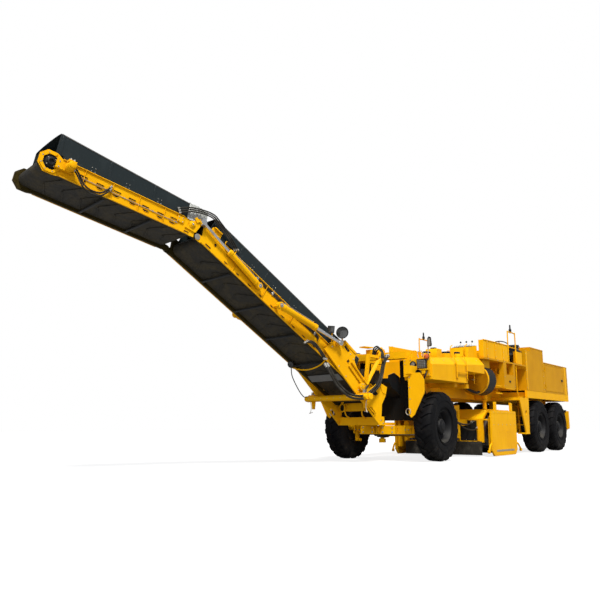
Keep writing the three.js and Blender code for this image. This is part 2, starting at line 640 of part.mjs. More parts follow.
function link(sign, z) {
  const y = sign * LINK_Y;
  const ends = [LINK_REAR + 60, LINK_FRONT - 60];
  const parts = [bar([ends[0], y, z], [ends[1], y, z], 70)];
  for (const x of ends) parts.push(rod([x, y - 50, z], [x, y + 50, z], LINK_EYE));
  return cut(join(parts), bore([ends[1], y - 70, z], [ends[1], y + 70, z], PIN_RADIUS));
}

// The lower pair is one frame, tied by a cross tube near its front pins.
const lowerLinks = () => join(
  link(1, LOWER_LINK_Z),
  link(-1, LOWER_LINK_Z),
  rod([LINK_FRONT - 180, -LINK_Y, LOWER_LINK_Z], [LINK_FRONT - 180, LINK_Y, LOWER_LINK_Z], 30, 8),
);

function liftCylinder(sign) {
  const foot = RAIL_BOTTOM + 10;
  return cut(
    join(
      rod([LIFT_X, sign * LIFT_Y, foot], [LIFT_X, sign * LIFT_Y, LIFT_TOP], LIFT_ROD + 28, 16),
      box(LIFT_X - 60, LIFT_X + 60, sign * (RAIL_OUTER + SEAT_GAP), sign * (LIFT_Y + 40), foot, foot + 170),
    ),
    rod([LIFT_X, sign * LIFT_Y, foot - 50], [LIFT_X, sign * LIFT_Y, LIFT_TOP - 40], LIFT_ROD + PIN_GAP),
  );
}

// ---------------------------------------------------------------- primary conveyor
function primaryConveyor() {
  const half = 330;
  const wall = 25;
  const profile = [[-2100, 690], [-1950, 560], [480, 1440], [600, 1560], [600, 1700], [380, 1760], [-2100, 860]];
  const trough = [[-2200, 900], [-2060, 760], [560, 1640], [700, 1640], [700, 1900], [-2200, 1900]];
  return join(
    cut(sidePlate(profile, -half, half), sidePlate(trough, -half + wall, half - wall)),
    box(-160, -60, -RAIL_INNER + SEAT_GAP, RAIL_INNER - SEAT_GAP, 1180, 1300),
  );
}

// ---------------------------------------------------------------- slewing yoke
const YOKE_OUTER = YOKE_INNER + YOKE_PLATE;
const BASE_Z = NOSE_TOP + 5;
const BEAM_HALF = 850;
const HINGE_PIN = 35;
const CYLINDER_Y = YOKE_OUTER + 80;
const LUFF_EYE = [1830, 2200]; // rod eye of the luff cylinder, on the cheek
const LUFF_FOOT = [2450, 18]; // barrel's pin on the lower section
const PIN_RADIUS = 28;
const EYE_RADIUS = 54;
const EYE_HALF = 34; // half the width of a rod's eye, which slides on its boss's face

function slewFrame() {
  const lower = [[560, BASE_Z], [700, BASE_Z], [1020, 1020], [1200, 1170], [1320, 1170], [1320, 1290], [1300, 1500],
    [1100, 1500], [960, 1380], [680, 1530], [460, 1440], [500, 1280], [620, 1100], [640, 870], [560, 870]];
  const slot = [[790, 925], [850, 890], [985, 1030], [925, 1065]];
  const cheek = [[1130, 1440], [1220, 1300], [1320, 1280], [1560, 1500], [2150, 2070], [1830, 2275], [1600, 2260],
    [1320, 2040], [1370, 1910]];
  const window = [[1480, 2080], [1530, 2040], [1640, 2150], [1590, 2190]];
  const parts = [
    box(-180, 620, -200, 200, BASE_Z, BASE_Z + 55),
    pin([0, 0, NOSE_TOP - 118], [0, 0, BASE_Z + 20], 60),
    box(570, 700, -YOKE_OUTER, YOKE_OUTER, BASE_Z, 860),
    box(1200, 1320, -BEAM_HALF, BEAM_HALF, 1170, 1280),
    pin([0, 0, CROSS_BEAM_BOTTOM - 90], [0, 0, CROSS_BEAM_TOP + 55], 45),
    rod([0, 0, CROSS_BEAM_BOTTOM - 90], [0, 0, CROSS_BEAM_BOTTOM - 3], 95, 20),
    rod([0, 0, CROSS_BEAM_TOP + 3], [0, 0, CROSS_BEAM_TOP + 55], 95, 20),
    box(0, 640, -80, 80, CROSS_BEAM_BOTTOM - 88, CROSS_BEAM_BOTTOM - 5),
    box(0, 360, -80, 80, CROSS_BEAM_TOP + 5, CROSS_BEAM_TOP + 53),
    box(280, 360, -80, 80, CROSS_BEAM_BOTTOM - 80, CROSS_BEAM_TOP + 40),
    box(580, 680, -YOKE_OUTER, YOKE_OUTER, CROSS_BEAM_BOTTOM - 70, CROSS_BEAM_BOTTOM + 30),
  ];
  for (const sign of Object.values(SIDES)) {
    const middle = sign * (YOKE_INNER + YOKE_PLATE / 2);
    parts.push(sidePlate(lower, sign * YOKE_INNER, sign * YOKE_OUTER, [slot]));
    parts.push(sidePlate(cheek, sign * YOKE_INNER, sign * YOKE_OUTER, [window]));
    parts.push(pin([LUFF_S, sign * (BOOM_HALF - BOOM_SIDE + 5), LUFF_Z], [LUFF_S, sign * 620, LUFF_Z], HINGE_PIN));
    parts.push(rod([LUFF_S, sign * YOKE_INNER, LUFF_Z], [LUFF_S, sign * 600, LUFF_Z], 75));
    parts.push(bar([1060, middle, 1440], [630, middle, 2020], 60));
    parts.push(bar([1060, middle, 1440], [960, middle, 2060], 60));
    parts.push(bar([640, middle, 2010], [970, middle, 2030], 50));
    const eye = [LUFF_EYE[0], sign * (YOKE_OUTER - 5), LUFF_EYE[1]];
    parts.push(rod(eye, [eye[0], sign * (CYLINDER_Y - EYE_HALF - SEAT_GAP), eye[2]], EYE_RADIUS));
  }
  return join(parts);
}

function loadingHopper() {
  const half = 380;
  const wall = 15;
  const side = [[470, 1480], [640, 1500], [1000, 1650], [1000, 1780], [470, 1780]];
  const parts = [box(985, 1000, -half, half, 1650, 1780)];
  for (const sign of Object.values(SIDES)) {
    parts.push(sidePlate(side, sign * (half - wall), sign * half));
    parts.push(box(600, 720, sign * (half - 5), sign * (YOKE_INNER - SEAT_GAP), 1500, 1520));
  }
  return join(parts);
}

// ---------------------------------------------------------------- discharge conveyor
const FRAME_INNER = BOOM_HALF - BOOM_SIDE;
const BELT_RADIUS = 110; // outside of the belt where it rounds a drum
const BELT_RISE = 150; // belt's middle above the lower edge
const LOWER_HEAD = FOLD_U - 190;
const FOLD_LUG = 62;
const FOLD_PIN = 25;
const FOLD_CLEAR = 70;
const HEAD_U = UPPER_LENGTH - 60;
const HEAD_PLATE = 170; // half the height of the plates round the head drum
const HEAD_SLOPE = 150; // from the head drum's axis back to where those plates begin
const COVER_LIFT = 2; // between those plates' top and the cover
const FOLD_DROP = UPPER_PITCH - LOWER_PITCH;
const FOLD_Y = BOOM_HALF + 60;
const FOLD_FOOT = [FOLD_U - 1380, 60]; // fold cylinder's barrel pin on the lower section
const FOLD_EYE = [-20, 250]; // its rod eye, from the fold hinge in the upper section's own line

// Cross tubes between the side frames, inside the loop of the belt, and the two end drums.
function betweenSides(tail, head, middle, count) {
  const reach = FRAME_INNER + 5;
  const drum = (BELT_RADIUS - BELT_SKIN) * Math.cos(Math.PI / 20) - PIN_GAP;
  const parts = [];
  for (const x of [tail, head]) parts.push(rod([x, -BELT_HALF, middle], [x, BELT_HALF, middle], drum, 16));
  for (const x of [tail, head]) parts.push(rod([x, -reach, middle], [x, reach, middle], 30, 8));
  for (let i = 1; i <= count; i += 1) {
    const x = tail + ((head - tail) * i) / (count + 1);
    parts.push(rod([x, -reach, middle], [x, reach, middle], 32, 6));
  }
  return parts;
}

function beltLoop(tail, head, middle) {
  const ring = (radius) => {
    const points = [];
    for (let i = 0; i <= 10; i += 1) {
      const angle = Math.PI / 2 + (Math.PI * i) / 10;
      points.push([tail + radius * Math.cos(angle), middle + radius * Math.sin(angle)]);
    }
    for (let i = 0; i <= 10; i += 1) {
      const angle = -Math.PI / 2 + (Math.PI * i) / 10;
      points.push([head + radius * Math.cos(angle), middle + radius * Math.sin(angle)]);
    }
    return points;
  };
  return sidePlate(ring(BELT_RADIUS), -BELT_HALF, BELT_HALF, [ring(BELT_RADIUS - BELT_SKIN)]);
}

// A hood over the belt, open below and at both ends, standing on the side frames. Its sides may
// grow from one height at the rear to another at the front.
function cover(from, to, foot, [rear, front]) {
  const half = BOOM_HALF - 15;
  const arch = (width, rise) => Array.from({ length: 11 }, (_, i) => {
    const angle = (Math.PI * i) / 10;
    return [width * Math.cos(angle), foot + rear + rise * Math.sin(angle)];
  });
  const geometry = frontGeometry([
    [half, foot], ...arch(half, COVER_ARCH), [-half, foot],
    [-half + COVER_SKIN, foot], ...arch(half - COVER_SKIN, COVER_ARCH - COVER_SKIN).reverse(), [half - COVER_SKIN, foot],
  ], from, to);
  const places = geometry.attributes.position;
  for (let i = 0; i < places.count; i += 1) {
    const z = places.getZ(i);
    if (z > foot + 1) places.setZ(i, z + ((front - rear) * (places.getX(i) - from)) / (to - from));
  }
  return toSolid(geometry);
}

function lowerFrame() {
  const top = LOWER_EDGE + LOWER_DEPTH;
  const fold = LOWER_EDGE + FOLD_RISE;
  const side = [[LOWER_TAIL, LOWER_EDGE + 40], [LOWER_TAIL + 60, LOWER_EDGE], [FOLD_U - FOLD_CLEAR, LOWER_EDGE],
    [FOLD_U - FOLD_CLEAR, 25], [FOLD_U + 10, top], [LOWER_TAIL, top]];
  const lug = [[FOLD_U - 160, LOWER_EDGE], [FOLD_U, LOWER_EDGE - 20], [FOLD_U + 55, fold], [FOLD_U, fold + 60], [FOLD_U - 160, 40]];
  const parts = betweenSides(LOWER_TAIL + 140, LOWER_HEAD, LOWER_EDGE + BELT_RISE, 5);
  for (const sign of Object.values(SIDES)) {
    parts.push(cut(sidePlate(side, sign * FRAME_INNER, sign * BOOM_HALF),
      bore([0, sign * (FRAME_INNER - 20), 0], [0, sign * (BOOM_HALF + 20), 0], HINGE_PIN)));
    parts.push(sidePlate(lug, sign * (BOOM_HALF - 22), sign * BOOM_HALF));
    parts.push(pin([FOLD_U, sign * (FRAME_INNER + 2), fold], [FOLD_U, sign * (BOOM_HALF - 2), fold], FOLD_PIN));
    parts.push(pin([LUFF_FOOT[0], sign * (BOOM_HALF - 5), LUFF_FOOT[1]],
      [LUFF_FOOT[0], sign * (CYLINDER_Y + 50), LUFF_FOOT[1]], PIN_RADIUS));
    parts.push(pin([FOLD_FOOT[0], sign * (BOOM_HALF - 5), FOLD_FOOT[1]],
      [FOLD_FOOT[0], sign * (FOLD_Y + 40), FOLD_FOOT[1]], PIN_RADIUS));
  }
  return join(parts);
}

function upperFrame() {
  const bottom = -FOLD_RISE;
  const top = bottom + UPPER_DEPTH;
  const middle = bottom + BELT_RISE;
  const [low, high] = [middle - HEAD_PLATE, middle + HEAD_PLATE];
  const nose = HEAD_U + HEAD_PLATE;
  const side = [[FOLD_CLEAR, bottom], [HEAD_U - HEAD_SLOPE, bottom], [HEAD_U - 60, low], [HEAD_U + 70, low],
    [nose, middle - 70], [nose, middle + 70], [HEAD_U + 70, high], [HEAD_U - 70, high],
    [HEAD_U - HEAD_SLOPE, top], [30, top], [FOLD_CLEAR, 60]];
  const lug = [[-FOLD_LUG + 10, 0], [-40, -38], [0, -55], [160, bottom], [160, 60], [0, 58], [-40, 42]];
  const parts = betweenSides(150, HEAD_U, middle, 3);
  for (const sign of Object.values(SIDES)) {
    parts.push(sidePlate(side, sign * FRAME_INNER, sign * BOOM_HALF));
    parts.push(cut(sidePlate(lug, sign * FRAME_INNER, sign * (FRAME_INNER + 22)),
      bore([0, sign * (FRAME_INNER - 20), 0], [0, sign * (BOOM_HALF + 20), 0], FOLD_PIN)));
    parts.push(sidePlate([[60, 40], [260, 60], [60, 290], [-20, 300], [-60, 250], [-20, 200]],
      sign * (BOOM_HALF - 10), sign * (BOOM_HALF + 20)));
    parts.push(rod([FOLD_EYE[0], sign * (BOOM_HALF + 2), FOLD_EYE[1]],
      [FOLD_EYE[0], sign * (FOLD_Y - EYE_HALF - SEAT_GAP), FOLD_EYE[1]], EYE_RADIUS));
  }
  parts.push(box(HEAD_U - 310, HEAD_U - 60, BOOM_HALF - 5, BOOM_HALF + 70, middle - 60, middle + 60));
  parts.push(rod([HEAD_U - 240, BOOM_HALF + 60, middle], [HEAD_U - 240, BOOM_HALF + 200, middle], 60, 16));
  return join(parts);
}

// ---------------------------------------------------------------- cylinders
// Both halves are drawn along +X from the barrel's eye, in the line of the cylinder.
function barrel(length, rodRadius) {
  const outer = rodRadius + 24;
  return cut(
    join(rod([0, 0, 0], [length, 0, 0], outer), rod([0, -38, 0], [0, 38, 0], outer + 6)),
    bore([0, -60, 0], [0, 60, 0], PIN_RADIUS),
    rod([outer + 40, 0, 0], [length + 20, 0, 0], rodRadius + PIN_GAP),
  );
}

function pistonRod(from, length, rodRadius) {
  return join(
    rod([from, 0, 0], [length - 20, 0, 0], rodRadius),
    rod([length, -EYE_HALF, 0], [length, EYE_HALF, 0], EYE_RADIUS),
  );
}

function addCylinder(label, foot, eye, y, barrelLength, rodFrom, rodRadius, parent) {
  const [dx, dz] = [eye[0] - foot[0], eye[1] - foot[1]];
  const length = Math.hypot(dx, dz);
  for (const [side, sign] of Object.entries(SIDES)) {
    const line = new THREE.Group();
    line.position.set(foot[0], sign * y, foot[1]);
    line.rotation.y = -Math.atan2(dz, dx);
    parent.add(line);
    placed(`${side}_${label}_barrel`, barrel(barrelLength, rodRadius), yellow, line);
    placed(`${side}_${label}_rod`, pistonRod(rodFrom, length, rodRadius), chrome, line);
  }
}

const turned = ([x, z], angle) => [x * Math.cos(angle) - z * Math.sin(angle), x * Math.sin(angle) + z * Math.cos(angle)];

function addConveyor(parent) {
  const slew = new THREE.Group();
  slew.position.x = SLEW_X;
  slew.rotation.z = SLEW_REST;
  parent.add(slew);
  placed("slew_frame", slewFrame(), yellow, slew);
  placed("loading_hopper", loadingHopper(), beltRubber, slew);

  const lower = new THREE.Group();
  lower.position.set(LUFF_S, 0, LUFF_Z);
  lower.rotation.y = -LOWER_PITCH;
  slew.add(lower);
  const lowerTop = LOWER_EDGE + LOWER_DEPTH + SEAT_GAP;
  placed("lower_conveyor_frame", lowerFrame(), yellow, lower);
  placed("lower_belt", beltLoop(LOWER_TAIL + 140, LOWER_HEAD, LOWER_EDGE + BELT_RISE), beltRubber, lower);
  placed("lower_cover", cover(250, FOLD_U - 120, lowerTop, LOWER_COVER_SIDES), coverPaint, lower);
  const eye = turned([LUFF_EYE[0] - LUFF_S, LUFF_EYE[1] - LUFF_Z], -LOWER_PITCH);
  addCylinder("luff", LUFF_FOOT, eye, CYLINDER_Y, 900, 560, 32, lower);

  const upper = new THREE.Group();
  upper.position.set(FOLD_U, 0, LOWER_EDGE + FOLD_RISE);
  upper.rotation.y = -FOLD_DROP;
  lower.add(upper);
  const bottom = -FOLD_RISE;
  placed("upper_conveyor_frame", upperFrame(), yellow, upper);
  placed("upper_belt", beltLoop(150, HEAD_U, bottom + BELT_RISE), beltRubber, upper);
  const upperTop = bottom + UPPER_DEPTH + SEAT_GAP;
  const overHead = Object.values(SIDES).map((sign) => box(HEAD_U - HEAD_SLOPE - 2, HEAD_U,
    sign * (FRAME_INNER - 10), sign * (BOOM_HALF + 10), 0, bottom + BELT_RISE + HEAD_PLATE + COVER_LIFT));
  placed("upper_cover", cut(cover(60, HEAD_U - 40, upperTop, UPPER_COVER_SIDES), overHead), coverPaint, upper);
  const [ex, ez] = turned(FOLD_EYE, FOLD_DROP);
  addCylinder("fold", FOLD_FOOT, [FOLD_U + ex, LOWER_EDGE + FOLD_RISE + ez], FOLD_Y, 800, 480, 26, lower);
}

// ---------------------------------------------------------------- assembly
function addPair(name, make, material, parent) {
  for (const [side, sign] of Object.entries(SIDES)) placed(`${side}_${name}`, make(sign), material, parent);
}

const machine = new THREE.Group();
placed("main_frame", mainFrame(), yellow, machine);
placed("front_axle", frontAxle(), yellow, machine);
placed("tie_rod", tieRod(), steel, machine);
placed("rear_tandem", rearTandem(), yellow, machine);
placed("nose_frame", noseFrame(), yellow, machine);
placed("cross_beam", crossBeam(), yellow, machine);
placed("operator_deck", deck(), yellow, machine);
placed("operator_rail", operatorRail(), yellow, machine);
placed("control_console", controlConsole(), yellow, machine);
placed("operator_seat", operatorSeat(), seatVinyl, machine);
placed("engine_hood", engineHood(), yellow, machine);
placed("engine_block", engineBlock(), darkPaint, machine);
placed("radiator", radiator(), darkPaint, machine);
placed("rear_bumper", rearBumper(), yellow, machine);
placed("filter_drum", filterDrum(), yellow, machine);
placed("primary_conveyor", primaryConveyor(), darkPaint, machine);
placed("cutter_housing", cutterHousing(), yellow, machine);
placed("cutter_drum", cutterDrum(), steel, machine);
placed("lower_links", lowerLinks(), yellow, machine);
addPair("upper_link", (sign) => link(sign, UPPER_LINK_Z), yellow, machine);
addPair("knuckle", knuckle, yellow, machine);
addPair("side_tank", sideTank, yellow, machine);
addPair("lamp_bracket", lampBracket, yellow, machine);
addPair("handrails", handrails, yellow, machine);
addPair("step_bracket", stepBracket, yellow, machine);
addPair("engine_door", engineDoor, yellow, machine);
addPair("side_shield", sideShield, yellow, machine);
addPair("lift_cylinder", liftCylinder, yellow, machine);
addWheels(machine);
addConveyor(machine);

machine.updateMatrixWorld(true);
const extent = new THREE.Box3().setFromObject(machine, true);
machine.position.set(-(extent.min.x + extent.max.x) / 2, -(extent.min.y + extent.max.y) / 2, -extent.min.z);

const group = new THREE.Group();
group.name = "cold_planer";
group.add(machine);
export default group;
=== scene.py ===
import json
import math
import random

import bpy
from mathutils import Matrix, Vector

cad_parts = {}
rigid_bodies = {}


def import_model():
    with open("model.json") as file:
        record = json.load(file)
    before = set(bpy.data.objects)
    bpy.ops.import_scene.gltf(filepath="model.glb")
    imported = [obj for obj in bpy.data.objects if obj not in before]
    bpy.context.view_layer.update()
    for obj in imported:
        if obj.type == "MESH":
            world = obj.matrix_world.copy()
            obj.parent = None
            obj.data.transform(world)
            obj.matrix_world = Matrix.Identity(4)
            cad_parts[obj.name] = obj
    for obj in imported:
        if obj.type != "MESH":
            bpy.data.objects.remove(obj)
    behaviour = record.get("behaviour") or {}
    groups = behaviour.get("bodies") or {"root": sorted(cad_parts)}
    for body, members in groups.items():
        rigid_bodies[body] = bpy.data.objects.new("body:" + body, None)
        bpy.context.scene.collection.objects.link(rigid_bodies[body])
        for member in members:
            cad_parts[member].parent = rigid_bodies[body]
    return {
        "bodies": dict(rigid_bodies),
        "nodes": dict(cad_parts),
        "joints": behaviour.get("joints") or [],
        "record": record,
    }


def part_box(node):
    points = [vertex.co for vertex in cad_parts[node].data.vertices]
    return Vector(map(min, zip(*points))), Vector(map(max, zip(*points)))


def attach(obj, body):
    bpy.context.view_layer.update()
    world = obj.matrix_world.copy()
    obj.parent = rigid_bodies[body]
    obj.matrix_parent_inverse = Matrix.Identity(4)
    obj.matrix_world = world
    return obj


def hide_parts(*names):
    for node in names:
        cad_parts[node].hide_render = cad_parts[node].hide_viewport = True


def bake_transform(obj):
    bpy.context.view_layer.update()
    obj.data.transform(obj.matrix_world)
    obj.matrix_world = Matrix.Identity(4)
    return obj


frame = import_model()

random.seed(7)
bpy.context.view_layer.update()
NODES = frame["nodes"]
SIDES = (("left", 1), ("right", -1))

# Machine frame: forward, left and up from the ground under the front axle.
TYRE_RADIUS = 0.685
TYRE_WIDTH = 0.392
WHEEL_TRACK = 2.098


def node_middle(name):
    low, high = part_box(name)
    return (Vector(low) + Vector(high)) / 2


FRONT_AXLE = (node_middle("front_left_wheel") + node_middle("front_right_wheel")) / 2
MACHINE = Matrix.Translation((FRONT_AXLE.x, FRONT_AXLE.y, 0))
SLEW = MACHINE @ Matrix.Translation((0.35, 0, 0)) @ Matrix.Rotation(math.radians(-11.7), 4, "Z")
LOWER = SLEW @ Matrix.Translation((1.2, 0, 1.42)) @ Matrix.Rotation(math.radians(-31.9), 4, "Y")
UPPER = LOWER @ Matrix.Translation((4.33, 0, -0.035)) @ Matrix.Rotation(math.radians(20.1), 4, "Y")


# ---------------------------------------------------------------- camera, lamps, floor
def add_camera():
    yaw, tilt = 3.783, 0.183
    looking = Vector((math.cos(yaw) * math.cos(tilt), math.sin(yaw) * math.cos(tilt), math.sin(tilt)))
    data = bpy.data.cameras.new("camera")
    data.sensor_width = 36
    data.lens = 40.8
    data.clip_end = 200
    camera = bpy.data.objects.new("camera", data)
    camera.location = MACHINE @ Vector((12.706, 7.128, 0.694))
    camera.rotation_euler = looking.to_track_quat("-Z", "Y").to_euler()
    bpy.context.scene.collection.objects.link(camera)
    bpy.context.scene.camera = camera


def add_sun(name, towards, strength, angle, color=(1, 1, 1)):
    data = bpy.data.lights.new(name, "SUN")
    data.energy = strength
    data.angle = math.radians(angle)
    data.color = color
    lamp = bpy.data.objects.new(name, data)
    lamp.rotation_euler = Vector(towards).to_track_quat("-Z", "Y").to_euler()
    bpy.context.scene.collection.objects.link(lamp)


# ---------------------------------------------------------------- shader nodes
class Value:
    """A socket's number, colour or vector, with the maths that a material is written in."""

    def __init__(self, board, socket):
        self.board = board
        self.socket = socket

    def math(self, operation, *others):
        return self.board.node("ShaderNodeMath", {"operation": operation}, dict(enumerate((self,) + others)))

    def swapped(self, operation, first):
        return self.board.node("ShaderNodeMath", {"operation": operation}, {0: first, 1: self})

    def __add__(self, other):
        return self.math("ADD", other)

    def __sub__(self, other):
        return self.math("SUBTRACT", other)

    def __mul__(self, other):
        return self.math("MULTIPLY", other)

    def __truediv__(self, other):
        return self.math("DIVIDE", other)

    def __pow__(self, other):
        return self.math("POWER", other)

    def __rsub__(self, other):
        return self.swapped("SUBTRACT", other)

    def __rtruediv__(self, other):
        return self.swapped("DIVIDE", other)

    __radd__ = __add__
    __rmul__ = __mul__

    def between(self, low, high):
        """0 below low, 1 above high."""
        ranged = {"clamp": True, "interpolation_type": "SMOOTHSTEP"}
        return self.board.node("ShaderNodeMapRange", ranged,
                               {"Value": self, "From Min": low, "From Max": high})

    def max(self, other):
        return self.math("MAXIMUM", other)

    def min(self, other):
        return self.math("MINIMUM", other)

    def sine(self):
        return self.math("SINE")


class Board:
    """One material and its nodes."""

    def __init__(self, name):
        self.material = bpy.data.materials.new(name)
        self.material.use_nodes = True
        self.tree = self.material.node_tree
        self.tree.nodes.clear()
        self.place = self.node("ShaderNodeTexCoord", {}, {}, "Object")

    def node(self, kind, settings, sockets, out=0):
        """Adds a node: its settings first, then its sockets' values or links."""
        node = self.tree.nodes.new(kind)
        for key, value in settings.items():
            if key == "stops":
                self.set_stops(node.color_ramp, value)
            else:
                setattr(node, key, value)
        for key, value in sockets.items():
            if isinstance(value, Value):
                self.tree.links.new(value.socket, node.inputs[key])
            else:
                node.inputs[key].default_value = value
        return Value(self, node.outputs[out]) if len(node.outputs) else node

    @staticmethod
    def set_stops(ramp, stops):
        while len(ramp.elements) < len(stops):
            ramp.elements.new(0.5)
        for element, (position, shade) in zip(ramp.elements, stops):
            element.position = position
            element.color = (*shade, 1)

    def noise(self, scale, detail=3, roughness=0.55, vector=None, distortion=0.0):
        return self.node("ShaderNodeTexNoise", {}, {
            "Vector": vector or self.place, "Scale": scale, "Detail": detail, "Roughness": roughness,
            "Distortion": distortion,
        })

    def stretched(self, x, y, z):
        """The object's own place, scaled along each axis, so that marks run along one."""
        return self.node("ShaderNodeVectorMath", {"operation": "MULTIPLY"}, {0: self.place, 1: (x, y, z)})

    def mix(self, factor, low, high):
        colour = {"data_type": "RGBA"}
        return self.node("ShaderNodeMix", colour, {
            0: factor,
            6: low if isinstance(low, Value) else (*low, 1),
            7: high if isinstance(high, Value) else (*high, 1),
        }, 2)

    def part(self, vector, axis):
        return self.node("ShaderNodeSeparateXYZ", {}, {0: vector}, axis)

    def facing_up(self):
        return self.part(self.node("ShaderNodeNewGeometry", {}, {}, "Normal"), "Z")

    def across_conveyor(self):
        """Distance to the left of the conveyor's middle plane."""
        left = SLEW.to_3x3() @ Vector((0, 1, 0))
        middle = SLEW @ Vector((0, 0, 0))
        dot = self.node("ShaderNodeVectorMath", {"operation": "DOT_PRODUCT"}, {0: self.place, 1: tuple(left)},
                        1)
        return dot - left.dot(middle)

    def crevice(self, reach):
        """1 in the open, towards 0 deep in a corner."""
        return self.node("ShaderNodeAmbientOcclusion", {"samples": 4}, {"Distance": reach}, "AO")

    def bump(self, height, strength, distance):
        return self.node("ShaderNodeBump", {}, {"Height": height, "Strength": strength, "Distance": distance})

    def finish(self, color, roughness, metallic=0.0, normal=None, **constants):
        sockets = {"Base Color": color if isinstance(color, Value) else (*color, 1),
                   "Roughness": roughness, "Metallic": metallic}
        if normal:
            sockets["Normal"] = normal
        for key, value in constants.items():
            sockets[key.replace("_", " ").title().replace("Ior", "IOR")] = value
        shader = self.node("ShaderNodeBsdfPrincipled", {}, sockets)
        self.node("ShaderNodeOutputMaterial", {}, {"Surface": shader})
        return self.material


def enamel(name, base, shade, pale, dust=0.05, shaded_inside=None):
    """Sprayed gloss enamel over steel: slight mottling, pale dust and a painted highlight on top faces, grimy streaks
    heavier low down, painted shade in corners, chips.
    The last argument is a painted shade colour, put on a conveyor's frames on every face but their outer ones."""
    board = Board(name)
    mottle = board.noise(1.3, 4)
    fine = board.noise(38, 3)
    color = board.mix(mottle.between(0.35, 0.75), base, shade)
    # Up-facing faces turn pale by the dust amount: partly dust, partly a painted highlight from the light above.
    top = board.facing_up().between(0.35, 0.95)
    dust_and_top_highlight = top * board.noise(5, 5).between(0.35, 0.8) * dust
    color = board.mix(dust_and_top_highlight, color, pale)
    streaks = board.noise(3, 4, vector=board.stretched(6, 6, 0.6)).between(0.55, 0.85)
    low = 1 - board.part(board.place, "Z").between(0.5, 2.3)
    # Painted shade: corners and recesses darkened through an occlusion mask, added to grimy streaks that are heavier
    # low down.
    grime_and_crevice_shade = (1 - board.crevice(0.16).between(0.15, 0.8)) * 0.5 + streaks * (low * 0.3 + 0.08)
    color = board.mix(grime_and_crevice_shade.min(0.8), color, (0.13, 0.055, 0.004))
    # Painted shade: every face of the conveyor frames but the outer ones gets the dark colour of the last argument.
    if shaded_inside:
        across = board.across_conveyor()
        outer = across.math("ABSOLUTE").between(0.4955, 0.4985)
        color = board.mix(1 - outer, color, board.mix(fine.between(0.4, 0.7), shaded_inside,
                                                      tuple(c * 0.55 for c in shaded_inside)))
    chips = board.noise(17, 6, 0.7).between(0.70, 0.735) * (low * 0.6 + 0.25)
    color = board.mix(chips, color, (0.045, 0.03, 0.02))
    roughness = 0.36 + fine * 0.12 + dust_and_top_highlight * 0.3 + grime_and_crevice_shade * 0.3
    height = board.noise(260, 2) * 0.25 + board.noise(3.1, 3) * 3 - chips * 0.6
    return board.finish(color, roughness, 0.0, board.bump(height, 0.3, 0.002), specular_ior_level=0.04)


def satin(name, base, worn, roughness=0.5, streaked=True):
    """Dark satin paint with pale dust on top and rubbed places."""
    board = Board(name)
    rubbed = board.noise(9, 6, 0.65).between(0.58, 0.74)
    color = board.mix(rubbed * 0.7, base, worn)
    top = board.facing_up().between(0.2, 0.95) * board.noise(4, 5).between(0.3, 0.8)
    color = board.mix(top * 0.35, color, (0.22, 0.2, 0.16))
    if streaked:
        runs = board.noise(2.5, 4, vector=board.stretched(1, 7, 1)).between(0.5, 0.8)
        color = board.mix(runs * 0.25, color, worn)
    height = board.noise(180, 3) * 0.3 + board.noise(2.2, 3) * 4
    return board.finish(color, roughness + rubbed * 0.15 + top * 0.25, 0.0, board.bump(height, 0.35, 0.002),
                        specular_ior_level=0.3)


def rubber(name, base, dust_color, amount, low_dust=True):
    board = Board(name)
    patches = board.noise(7, 6, 0.65).between(0.42, 0.8)
    color = board.mix(patches * amount, base, dust_color)
    if low_dust:
        low = 1 - board.part(board.place, "Z").between(0.02, 0.5)
        color = board.mix(low * board.noise(11, 5).between(0.35, 0.7) * 0.6, color, dust_color)
    height = board.noise(140, 4) * 0.6 + board.noise(19, 3)
    return board.finish(color, 0.62 + patches * 0.25, 0.0, board.bump(height, 0.4, 0.0025),
                        specular_ior_level=0.1)


def belt_rubber(name):
    """Dusty olive-brown belting, scuffed and creased across its run, with painted shade along the creases."""
    board = Board(name)
    warp = board.noise(2.6, 5, 0.6, distortion=1.4)
    creases = board.noise(4.2, 5, 0.6, board.stretched(1, 2.2, 1), 2.2)
    crease_dent_and_shade = 1 - (creases - 0.5).math("ABSOLUTE").between(0.0, 0.035)
    color = board.mix(warp.between(0.35, 0.7), (0.014, 0.011, 0.005), (0.05, 0.037, 0.013))
    # Painted shade: near-black lines along the creases.
    color = board.mix(crease_dent_and_shade * 0.75, color, (0.006, 0.005, 0.003))
    pale = board.noise(23, 5, 0.7).between(0.62, 0.75)
    color = board.mix(pale * 0.25, color, (0.11, 0.09, 0.05))
    height = warp * 4 - crease_dent_and_shade * 1.5 + board.noise(120, 3) * 0.3
    return board.finish(color, 0.6 + warp * 0.25, 0.0, board.bump(height, 0.6, 0.006))


def bare_metal(name, base, stain, roughness, scratch=60):
    board = Board(name)
    stains = board.noise(12, 6, 0.7).between(0.52, 0.72)
    color = board.mix(stains, base, stain)
    lines = board.noise(scratch, 4, 0.6, board.stretched(1, 6, 6))
    return board.finish(color, roughness + stains * 0.25 + lines * 0.1, 1.0 - stains * 0.45,
                        board.bump(lines, 0.25, 0.0008))


def vinyl(name, base):
    """Grained seat vinyl."""
    board = Board(name)
    cells = board.node("ShaderNodeTexVoronoi", {"feature": "DISTANCE_TO_EDGE"},
                       {"Vector": board.place, "Scale": 230})
    grain = cells.between(0.0, 0.12)
    worn = board.noise(6, 5).between(0.5, 0.8)
    color = board.mix(worn * 0.5, base, tuple(0.03 + c * 2.2 for c in base))
    return board.finish(color, 0.42 + worn * 0.2, 0.0, board.bump(grain + board.noise(3, 3) * 3, 0.4, 0.0012))


